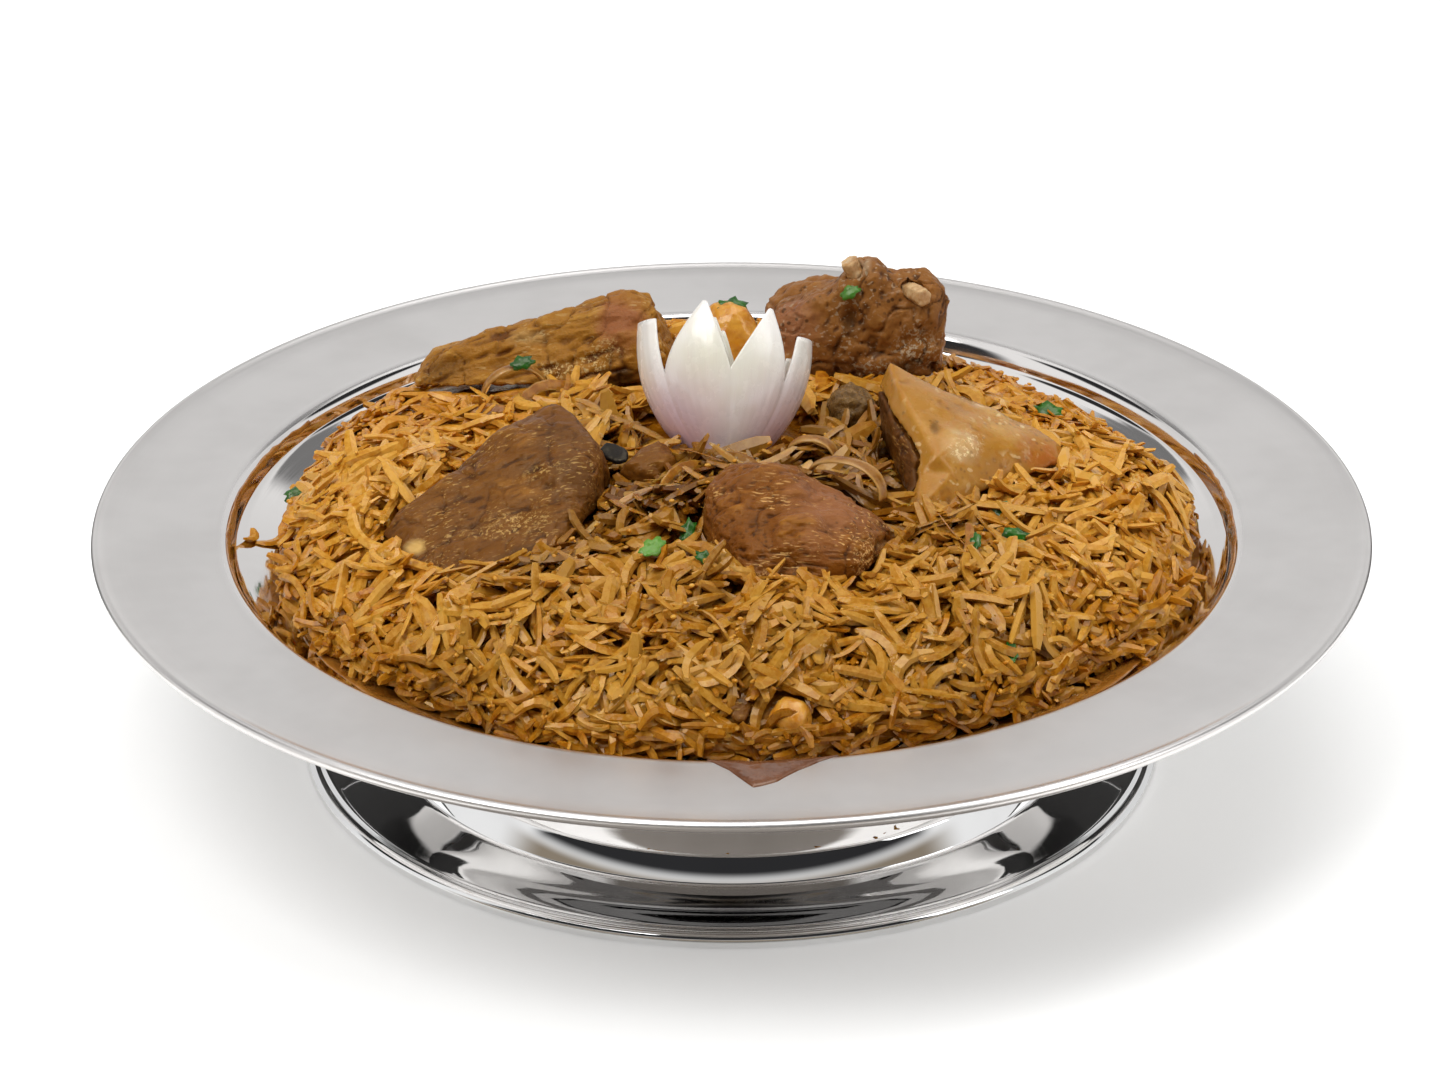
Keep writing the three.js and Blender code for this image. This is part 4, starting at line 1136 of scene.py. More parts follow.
@dataclass
class RiceHeap:
    """The heap of rice: a moist core under several layers of loose grains."""

    dish: SteelDish
    toppings: list[str]
    count: int = 15000
    whole_from: float = 0.66  # share of the tries after which only grains that lie free are added
    length: tuple = (11.0, 19.0)
    width: tuple = (1.9, 3.2)
    flatness: float = 0.54
    bend: float = 3.4
    sunk: float = 2.3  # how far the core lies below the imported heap
    fill: float = 4.8  # how far grains may pile up over the core
    back_top: float = 0.2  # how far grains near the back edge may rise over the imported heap
    overhang: float = 0.4  # how far grains may reach past the edge of the core
    fringe: int = 420  # tries for grains that hang over the front edge
    piece_size: int = 2700  # grains in one piece
    strays: tuple = ((-131.8, 3.0, 75, 6.5), (-126.0, 4.5, 40, 11.0), (-99, 88, 10, 12), (118, 46, 130, 9))
    crumbs: int = 1500
    shred_spots: tuple = (
        (-20, -26, 12, 60), (-8, -8, 9, 26), (26, -10, 10, 60), (36, -30, 9, 30), (-30, 12, 8, 16), (34, 18, 8, 20),
        (-54, 40, 8, 12), (56, -48, 10, 16),
    )  # middle, spread and number of the shreds of stewed onion
    seed: int = 7
    map: HeightMap = field(default_factory=HeightMap)

    def base(self) -> tuple[Array, Array]:
        """Heights that the grains fall on, and heights of the toppings."""
        rice = self.map.tops(["rice"])
        bearings = np.degrees(np.arctan2(self.map.y, self.map.x))
        rice -= 5.0 * np.exp(-(((bearings - 50) / 22) ** 2)) * np.clip((self.past_edge(rice) + 34) / 24, 0, 1)
        toppings = self.map.tops(self.toppings)
        well = self.dish.height(np.hypot(self.map.x, self.map.y)) + 0.2
        points = np.stack([self.map.x, self.map.y, 0 * self.map.x], axis=-1).reshape(-1, 3)
        lumps = NoiseField(3).fractal(points / 15.0, 3).reshape(rice.shape)
        fine = NoiseField(4).fractal(points / 5.0, 2).reshape(rice.shape)
        wet = 1.7 * np.clip(self.sauce(self.map.x, self.map.y) - 0.35, 0, 0.6) / 0.6
        back = self.near_back(self.past_edge(rice))
        core = rice - self.sunk - 1.5 * back + (1 - 0.8 * back) * (2.4 * lumps + wet) + 0.9 * fine
        self.packed = rice
        return np.maximum(np.where(np.isfinite(rice), core, well), well), toppings

    def near_back(self, past: Array) -> Array:
        """1 in a band along the back edge of the heap, falling to 0 away from it.

        Args:
            past: how far each cell lies past the edge.

        Returns:
            A share for each cell.
        """
        back = np.clip((self.map.y + 5) / 30, 0, 1)
        return back * np.clip((past + 60) / 20, 0, 1)

    def core_mesh(self, base: Array) -> bpy.types.Object:
        """The core's solid: the heap's surface over a flat underside.

        Args:
            base: heights of the core.

        Returns:
            The object.
        """
        rings, sides = 90, 256
        angles = np.arange(sides) * 2 * math.pi / sides
        rice = self.map.tops(["rice"])
        reach = np.zeros(sides)
        for i, angle in enumerate(angles):
            radii = np.arange(100, 136, 0.4)
            solid = np.isfinite(rice[self.map.cells(radii * math.cos(angle), radii * math.sin(angle))])
            reach[i] = radii[solid].max() - 0.6 - 4.0 * math.exp(-(((math.degrees(angle) - 50) / 20) ** 2))
        flat = self.dish.floor_top + 0.4
        points = []
        for ring in range(1, rings + 1):
            radius = (1 - (1 - ring / rings) ** 1.3) * reach
            x, y = radius * np.cos(angles), radius * np.sin(angles)
            height = np.maximum(self.dish.height(radius) + 0.4, base[self.map.cells(x, y)])
            points.append(np.stack([x, y, height], 1))
        for radius, height in ((np.minimum(reach - 1.0, 120.0), self.dish.floor_top + 6), (100, flat)):
            points.append(np.stack([radius * np.cos(angles), radius * np.sin(angles), 0 * angles + height], 1))
        top = len(points) * sides
        middle = base[self.map.cells(np.zeros(1), np.zeros(1))][0]
        points = np.vstack([*points, [(0, 0, middle), (0, 0, flat)]])
        faces = skin(rings + 2, sides, inward=True)
        faces += fan(top, 0, sides) + fan(top + 1, top - sides, sides, inward=True)
        piece = mesh_object("rice_core", points * MM, faces)
        spots = corners_of(piece.data) / MM
        store(piece.data, "tone", 0.35 + 0.3 * NoiseField(9).fractal(spots / 9.0, 2))
        store(piece.data, "sauce", self.sauce(spots[:, 0], spots[:, 1]))
        return piece

    def sauce(self, x: Array, y: Array) -> Array:
        """How thickly sauce lies on the rice at each place, from 0 to 1."""
        spots = (
            (-22, -30, 25, 1.0), (-6, -18, 14, 0.8), (26, -14, 26, 0.8), (42, 22, 24, 0.6), (-52, -58, 17, 0.7),
            (-26, 22, 18, 0.4), (54, -46, 24, 0.4), (-6, -76, 16, 0.3), (-76, -100, 16, 0.3), (10, -116, 34, 0.3),
            (64, -98, 26, 0.25), (-40, -92, 22, 0.15),
        )  # middle, size and strength of each brown place
        total = 0.02 + 0.1 / (1 + np.exp((y + 66) / 12))
        for sx, sy, size, strength in spots:
            total = total + strength * np.exp(-(((x - sx) ** 2 + (y - sy) ** 2) / size**2))
        return np.minimum(total, 1.0)

    def past_edge(self, rice: Array) -> Array:
        """How far each cell lies past the heap's edge, in millimetres, and below 0 inside it.

        Args:
            rice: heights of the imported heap.

        Returns:
            One distance for each cell.
        """
        inside = np.isfinite(rice)
        bearings = np.round(np.degrees(np.arctan2(self.map.y, self.map.x))).astype(int) % 360
        radius = np.hypot(self.map.x, self.map.y)
        reach = np.zeros(360)
        np.maximum.at(reach, bearings[inside], radius[inside])
        return radius - reach[bearings]

    def settle(self, base: Array, toppings: Array) -> dict[str, Array]:
        """Drops the grains one by one on what lies below them.

        Args:
            base: heights that they fall on.
            toppings: heights of the toppings.

        Returns:
            Place, turn, size, kind and tone of each grain.
        """
        random = np.random.default_rng(self.seed)
        surface = base.copy()
        in_heap = base > self.dish.height(np.hypot(self.map.x, self.map.y)) + 0.5
        outside = self.past_edge(self.packed)
        ceiling = self.packed + self.back_top + 30 * (1 - self.near_back(outside))
        spots = np.stack([self.map.x, self.map.y, 0 * self.map.x], axis=-1).reshape(-1, 3)
        clump = NoiseField(self.seed + 5).fractal(spots / 14.0, 2).reshape(base.shape)
        covered = toppings > base + 0.6
        surface[covered] = toppings[covered]
        taken = np.zeros(base.shape, bool)
        share = np.linspace(-0.46, 0.46, 7)
        grains: list[tuple] = []
        broken = list(Grain).index(Grain.BROKEN)
        waiting: list[tuple] = []
        for number in range(self.count):
            whole = number > self.whole_from * self.count
            if waiting:
                x, y, yaw, stands = waiting.pop()
            else:
                stands = random.normal(0, 0.12) + random.choice([0, 0, 0, -0.5, 0.5]) * random.uniform()
                angle, yaw = random.uniform(0, 2 * math.pi), random.uniform(0, math.pi)
                at_edge = random.uniform() < 0.2
                radius = random.uniform(112, 131) if at_edge else 131 * math.sqrt(random.uniform())
                x, y = radius * math.cos(angle), radius * math.sin(angle)
                for beside in range(int(random.integers(0, 6))):
                    off = (beside + 1) * random.uniform(1.7, 2.7)
                    slide = random.normal(0, 2.2)
                    nx = x + slide * math.cos(yaw) - off * math.sin(yaw)
                    ny = y + slide * math.sin(yaw) + off * math.cos(yaw)
                    waiting.append((nx, ny, yaw + random.normal(0, 0.15), stands))
            brown = float(self.sauce(np.array(x), np.array(y)))
            kind = int(random.choice(len(Grain), p=[0.15, 0.21, 0.25, 0.21, 0.1, 0.08]))
            length = random.uniform(*self.length) * (random.uniform(0.35, 0.6) if kind == broken else 1)
            width = random.uniform(*self.width)
            flake = random.uniform(0.7, 1.3)
            if random.uniform() < 0.2:
                width, flake = 1.4 * width, 0.6
            if random.uniform() < 0.35 * brown:
                length, width = 1.25 * length, 1.25 * width
            if whole:
                length, width = 1.15 * length, 1.2 * width
            extra = random.normal(0, 0.08) + stands
            tint = random.normal(0, 0.1)
            ax, ay = math.cos(yaw), math.sin(yaw)
            px, py = x + share * length * ax, y + share * length * ay
            row, column = self.map.cells(px, py)
            ahead = float(np.clip(-y / math.hypot(x, y) - 0.6, 0, 0.4)) * 20
            if outside[row, column].max() > self.overhang + ahead + random.uniform(-1.5, 1.5):
                continue
            if covered[row[1:6], column[1:6]].any() or not in_heap[row[3], column[3]]:
                continue
            heights = surface[row, column]
            run = share * length
            slope = float((run * heights).sum() / (run * run).sum())
            if abs(slope) > 1.7:
                continue
            slope += extra
            line = heights.mean() + slope * run
            if whole and taken[row, column].sum() > 3:
                continue
            lift = float((heights - line).max()) * (0.8 if whole else 0.7)
            thick = width * self.flatness * flake
            centre = heights.mean() + lift + 0.28 * thick
            if centre - base[row[3], column[3]] > self.fill + 1.6 * whole:
                continue
            if (centre + slope * run + 0.3 * thick > ceiling[row, column]).any():
                continue
            side = width * 0.6
            left = surface[self.map.cells(px - side * ay, py + side * ax)]
            right = surface[self.map.cells(px + side * ay, py - side * ax)]
            cross = float(np.clip((left.mean() - right.mean()) / (2 * side), -1.2, 1.2))
            cross += random.normal(0, 0.45)
            across = Vector((-ay, ax, cross)).normalized()
            along = Vector((ax, ay, slope)).normalized()
            up = along.cross(across).normalized()
            across = up.cross(along)
            turn = Matrix((along, across, up)).transposed().to_euler()
            # Painted shade: grains low in the pile get a darker tone, grains high on it a lighter one.
            high = 0.11 * (centre - base[row[3], column[3]])
            tone = 0.24 + tint - 0.1 * brown + high + 0.2 * clump[row[3], column[3]]
            wet = float(np.clip(brown * random.uniform(0.6, 1.25), 0, 1))
            grains.append(((x, y, centre), tuple(turn), scale_of(length, width, flake), kind, tone, wet))
            top = centre + slope * run + 0.42 * thick
            for offset in (-0.5, 0.0, 0.5):
                cells = self.map.cells(px - offset * width * ay, py + offset * width * ax)
                level = top - 0.2 * abs(offset) * width
                surface[cells] = np.maximum(surface[cells], level)
                taken[cells] |= whole
        self.hang(grains, base, outside)
        for x, y, bearing, length in self.strays:
            level = float(self.dish.height(np.array([math.hypot(x, y)]))[0]) + 0.9
            grains.append(((x, y, level), (0.0, 0.0, math.radians(bearing)), scale_of(length, 3.0), 1, 0.6, 0.15))
        self.surface, self.covered = surface, covered
        return columns_of(grains)

    def hang(self, grains: list[tuple], base: Array, outside: Array) -> None:
        """Adds grains that lie on the steep front edge of the heap.

        Args:
            grains: the grains so far, which get the new ones.
            base: heights of the core.
            outside: how far each cell lies past the edge.
        """
        random = np.random.default_rng(self.seed + 4)
        bearings = np.degrees(np.arctan2(self.map.y, self.map.x))
        edge = (np.abs(outside + 1) < 1.6) & (bearings < -12) & (bearings > -168)
        cells = np.argwhere(edge)
        for row, column in cells[random.integers(len(cells), size=self.fringe)]:
            x, y = self.map.x[row, column], self.map.y[row, column]
            reach = math.hypot(x, y)
            low = float(self.dish.height(np.array([reach]))[0])
            inner = self.map.cells(np.array([x * (1 - 5 / reach)]), np.array([y * (1 - 5 / reach)]))
            high = max(low + 2, float(base[inner][0]) + 1.5)
            yaw = math.atan2(y, x) + math.pi / 2 + random.normal(0, 0.55)
            length, width = random.uniform(9, 16), random.uniform(*self.width)
            place = (x, y, random.uniform(low + 1.2, high))
            turn = (random.normal(0.8, 0.35), random.normal(0, 0.3), yaw)
            kind, tone = int(random.choice(len(Grain) - 1)), random.uniform(0.3, 0.8)
            wet = min(1.0, 0.05 + float(self.sauce(np.array(x), np.array(y))))
            grains.append((place, turn, scale_of(length, width), kind, tone, wet))

    def shreds(self) -> dict[str, Array]:
        """Long flat shreds of stewed onion on top of the grains.

        Returns:
            Place, turn, size, kind, tone and sauce of each, as settle gives them.
        """
        random = np.random.default_rng(self.seed + 3)
        made: list[tuple] = []
        share = np.linspace(-0.45, 0.45, 7)
        for sx, sy, spread, number in self.shred_spots:
            for _ in range(number):
                x, y = sx + random.normal(0, spread), sy + random.normal(0, 0.8 * spread)
                yaw, length = random.uniform(0, math.pi), random.uniform(13, 26)
                width = random.uniform(1.7, 3.6)
                px, py = x + share * length * math.cos(yaw), y + share * length * math.sin(yaw)
                row, column = self.map.cells(px, py)
                if self.covered[row, column].any():
                    continue
                heights, run = self.surface[row, column], share * length
                slope = float((run * heights).sum() / (run * run).sum()) + random.normal(0, 0.08)
                if abs(slope) > 0.9:
                    continue
                centre = heights.mean() + 0.6 * float((heights - heights.mean() - slope * run).max())
                turn = (random.normal(0, 0.5), -math.atan(slope), yaw)
                kind, tone = int(random.choice(len(Grain) - 1)), random.uniform(0.1, 0.9)
                made.append(((x, y, centre), turn, scale_of(length, width, 0.24), kind, tone, 0.0))
                level = centre + slope * run + 0.15 * width
                self.surface[row, column] = np.maximum(self.surface[row, column], level)
        return columns_of(made)

    def tree(self) -> bpy.types.NodeTree:
        """Geometry Nodes that put a cooked grain on each point."""
        sizes = {"Length": GRAIN_LENGTH, "Width": GRAIN_WIDTH, "Flatness": self.flatness, "Bend": self.bend * MM}
        inputs = {"Points": ("Geometry", None)} | {key: ("Float", size) for key, size in sizes.items()}
        inputs["Finish"] = ("Material", None)
        sheet, given = new_tree("cooked_grains", "GeometryNodeTree", inputs, {"Grains": "Geometry"})
        points, length, width, flatness, bend, finish = given[:6]
        half = sheet.math("MULTIPLY", length, 0.5)
        back = sheet.math("MULTIPLY", length, -0.5)
        along = sheet.get("GeometryNodeSplineParameter", out="Factor")
        centred = sheet.math("ABSOLUTE", sheet.math("MULTIPLY_ADD", along, 2.0, -1.0))
        round_inputs = {"Resolution": 5, "Radius": sheet.math("MULTIPLY", width, 0.5)}
        ring = sheet.get("GeometryNodeCurvePrimitiveCircle", round_inputs, "Curve")
        join = sheet.add("GeometryNodeJoinGeometry")
        for form in reversed(Grain):
            aside, arch, lateness = form.value
            sway = sheet.math("MULTIPLY", bend, aside)
            rise = sheet.math("DIVIDE", sheet.math("MULTIPLY", bend, arch), flatness)
            drop = sheet.math("MULTIPLY", rise, -0.5)
            thin = sheet.math("MULTIPLY", sheet.math("POWER", centred, lateness), 0.45)
            behind = sheet.math("MULTIPLY", sway, -0.4)
            spots = {
                "Resolution": 6,
                "Start": sheet.vector(back, behind, drop),
                "Middle": sheet.vector(0.0, sway, rise),
                "End": sheet.vector(half, behind, drop),
            }
            form_inputs = {
                "Curve": sheet.get("GeometryNodeCurveQuadraticBezier", spots),
                "Profile Curve": ring,
                "Scale": sheet.math("SUBTRACT", 1.0, thin),
                "Fill Caps": True,
            }
            solid = sheet.get("GeometryNodeCurveToMesh", form_inputs)
            flat = {"Geometry": solid, "Scale": sheet.vector(1.0, 1.0, flatness)}
            one = sheet.get("GeometryNodeGeometryToInstance", {0: sheet.get("GeometryNodeTransform", flat)})
            sheet.tree.links.new(one, join.inputs[0])
        kind = sheet.get("GeometryNodeInputNamedAttribute", {"Name": "kind"}, data_type="INT")
        pick = {"Pick Instance": True, "Instance Index": kind}
        sheet.scatter(points, join.outputs[0], finish, False, pick)
        return sheet.tree

    def grains_from(
        self, name: str, tree: bpy.types.NodeTree, grains: dict, chosen: Array, finish: Finish, bend: float
    ) -> bpy.types.Object:
        """One piece that holds some of the grains or shreds.

        Args:
            name: the object's name.
            tree: the Geometry Nodes tree.
            grains: what settle or shreds gives.
            chosen: which of them it holds.
            finish: what they are dressed in.
            bend: the largest bend in millimetres.

        Returns:
            The object.
        """
        kept = {key: grains[key][chosen] for key in ("turn", "size", "kind", "tone", "sauce")}
        inputs = {"Flatness": self.flatness, "Bend": bend * MM, "Finish": finish.material()}
        inputs |= {"Length": GRAIN_LENGTH, "Width": GRAIN_WIDTH}
        return grown(name, tree, grains["place"][chosen], kept, inputs)

    def build(self) -> list[bpy.types.Object]:
        """Makes the core and the grains."""
        base, toppings = self.base()
        core = placed(self.core_mesh(base), UNDER_RICE, "rice", "rice")
        grains = self.settle(base, toppings)
        tree = self.tree()
        order = np.argsort(np.arctan2(grains["place"][:, 1], grains["place"][:, 0]))
        parts = [core]
        for number, chosen in enumerate(np.array_split(order, -(-len(order) // self.piece_size))):
            piece = self.grains_from(f"rice_grains_{number + 1}", tree, grains, chosen, GRAINS, self.bend)
            parts.append(placed(piece, GRAINS, "rice"))
        log.info("grains: %d", len(order))
        shreds = self.shreds()
        everyone = np.arange(len(shreds["place"]))
        piece = self.grains_from("onion_shreds", tree, shreds, everyone, SHREDS, 1.3 * self.bend)
        parts.append(placed(piece, SHREDS, "stewed_onion"))
        parts.append(self.crumbs_from(self.crumb_spots(base, toppings)))
        return parts

    def crumb_spots(self, base: Array, toppings: Array) -> Array:
        """Places of small crumbs on top of the grains.

        Args:
            base: heights of the core.
            toppings: heights of the toppings.

        Returns:
            One row for each crumb, in millimetres.
        """
        random = np.random.default_rng(self.seed + 1)
        well = self.dish.height(np.hypot(self.map.x, self.map.y))
        open_cells = np.argwhere((self.surface > well + 1.5) & ~(toppings > base + 0.6))
        chosen = open_cells[random.integers(len(open_cells), size=self.crumbs)]
        row, column = chosen[:, 0], chosen[:, 1]
        height = self.surface[row, column] + random.uniform(-0.3, 0.25, self.crumbs)
        return np.stack([self.map.x[row, column], self.map.y[row, column], height], axis=1)

    def crumbs_from(self, spots: Array) -> bpy.types.Object:
        """Small broken bits of rice, joined into one piece.

        Args:
            spots: places in millimetres.

        Returns:
            The object.
        """
        random = np.random.default_rng(self.seed + 2)
        bits = Scatter("rice_crumbs", 0.0006)
        for spot in spots:
            size = random.uniform(0.5, 1.7) * np.array([1, random.uniform(0.5, 1), 0.6])
            bits.drop(spot, size, random.uniform(0, 6.3), random.uniform(0.35, 1.0))
        return bits.build(GRAINS, "rice")


# Meat and other sculpted pieces


class Tint(Enum):
    """Kinds of patch that a piece's mesh keeps."""

    BLUSH = "blush"
    PALE = "pale"
    # Pale froth flecks, partly painted glints.
    FROTH_AND_GLINT = "froth_and_glint"
    # Painted shade: dark patches under overhangs, at low edges and in grooves.
    PAINTED_SHADE = "painted_shade"


@dataclass(frozen=True)
class Patch:
    """A patch of other colour: its middle, its size along each axis, and how strong it is."""

    tint: Tint
    middle: tuple
    size: tuple
    strength: float = 1.0


@dataclass
class SculptedPiece:
    """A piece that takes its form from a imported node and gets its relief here."""

    node: str
    finish: Finish
    slot: str
    voxel: float = 0.8
    rounds: int = 30  # rounds of smoothing
    fibre_turn: float = 0.0  # bearing of the fibres in degrees
    fibre_rise: float = 0.0
    fibre: tuple = (9.0, 1.8, 1.8)  # length, width and height of the fibres
    fibre_depth: float = 0.45
    lump: float = 6.0
    lump_depth: float = 0.5
    pit_depth: float = 0.35
    slit: tuple = (4.5, 0.9, 0.9)  # size of the slits between fibres
    slit_depth: float = 0.0
    crease: float = 7.0  # size of the fields between creases
    crease_depth: float = 0.0
    swells: tuple = ()  # middle, radius and height of rounded swellings, or hollows
    seed: int = 1
    patches: tuple = ()

    def sculpt(self) -> bpy.types.Object:
        """The dense mesh with its relief, its patches, and a tone with painted shade in its recesses and painted light
        on its bumps.
        """
        piece = solid_copy(self.node, self.node + "_dressed")
        remesh = piece.modifiers.new("even", "REMESH")
        remesh.mode = "VOXEL"
        remesh.voxel_size = self.voxel * MM
        smooth = piece.modifiers.new("soft", "SMOOTH")
        smooth.factor = 0.5
        smooth.iterations = self.rounds
        applied(piece)
        mesh = piece.data
        points, outward = corners_of(mesh) / MM, normals_of(mesh)
        turn = Euler((0, -math.radians(self.fibre_rise), math.radians(self.fibre_turn)), "XYZ")
        turned = points @ np.array(turn.to_matrix())
        field_ = NoiseField(self.seed)
        fibres = field_.fractal(turned / np.array(self.fibre), 2)
        lumps = field_.fractal(points / self.lump + 11, 3)
        pits = np.clip(field_.at(points / 2.1 + 23) - 0.35, 0, 1)
        slits = np.clip(field_.at(turned / np.array(self.slit) + 41) - 0.3, 0, 1) * (self.slit_depth > 0)
        relief = self.fibre_depth * fibres + self.lump_depth * lumps - self.pit_depth * 2 * pits
        relief -= 2.5 * self.slit_depth * slits
        bent = points + 1.2 * field_.at(points / 3.0 + 71)[:, None]
        creases = np.clip(1 - np.abs(field_.at(bent / self.crease + 61)) / 0.08, 0, 1) * (self.crease_depth > 0)
        relief -= self.crease_depth * creases
        for x, y, z, size, height in self.swells:
            away = np.sqrt(((points - np.array((x, y, z))) ** 2).sum(axis=1)) / size
            relief += height * np.clip(1 - away**2, 0, 1) ** 2
        moved = points + outward * relief[:, None]
        mesh.vertices.foreach_set("co", (moved * MM).ravel())
        mesh.update()
        mesh.shade_smooth()
        # Painted shade and light: the tone is darker in pits, slits and creases, lighter on raised lumps and fibres.
        store(mesh, "tone", 0.5 + 0.3 * fibres + 0.25 * lumps - 0.6 * pits - 1.2 * slits - 0.4 * creases)
        for tint in Tint:
            store(mesh, tint.value, self.patch(tint, points))
        return piece

    def patch(self, tint: Tint, points: Array) -> Array:
        """How strongly one tint shows at each point.

        Args:
            tint: the kind of patch.
            points: places in millimetres.

        Returns:
            A share from 0 to 1 for each.
        """
        total = np.zeros(len(points))
        ragged = NoiseField(self.seed + 50).fractal(points / 3.0, 3)
        for patch in self.patches:
            if patch.tint is tint:
                away = (points - np.array(patch.middle)) / np.array(patch.size)
                reach = np.sqrt((away**2).sum(axis=1)) + 0.3 * ragged
                total = np.maximum(total, patch.strength * np.clip(1.6 - 1.6 * reach, 0, 1))
        return np.clip(total, 0, 1)

    def build(self) -> bpy.types.Object:
        """Makes the piece."""
        return placed(self.sculpt(), self.finish, self.slot, self.node)
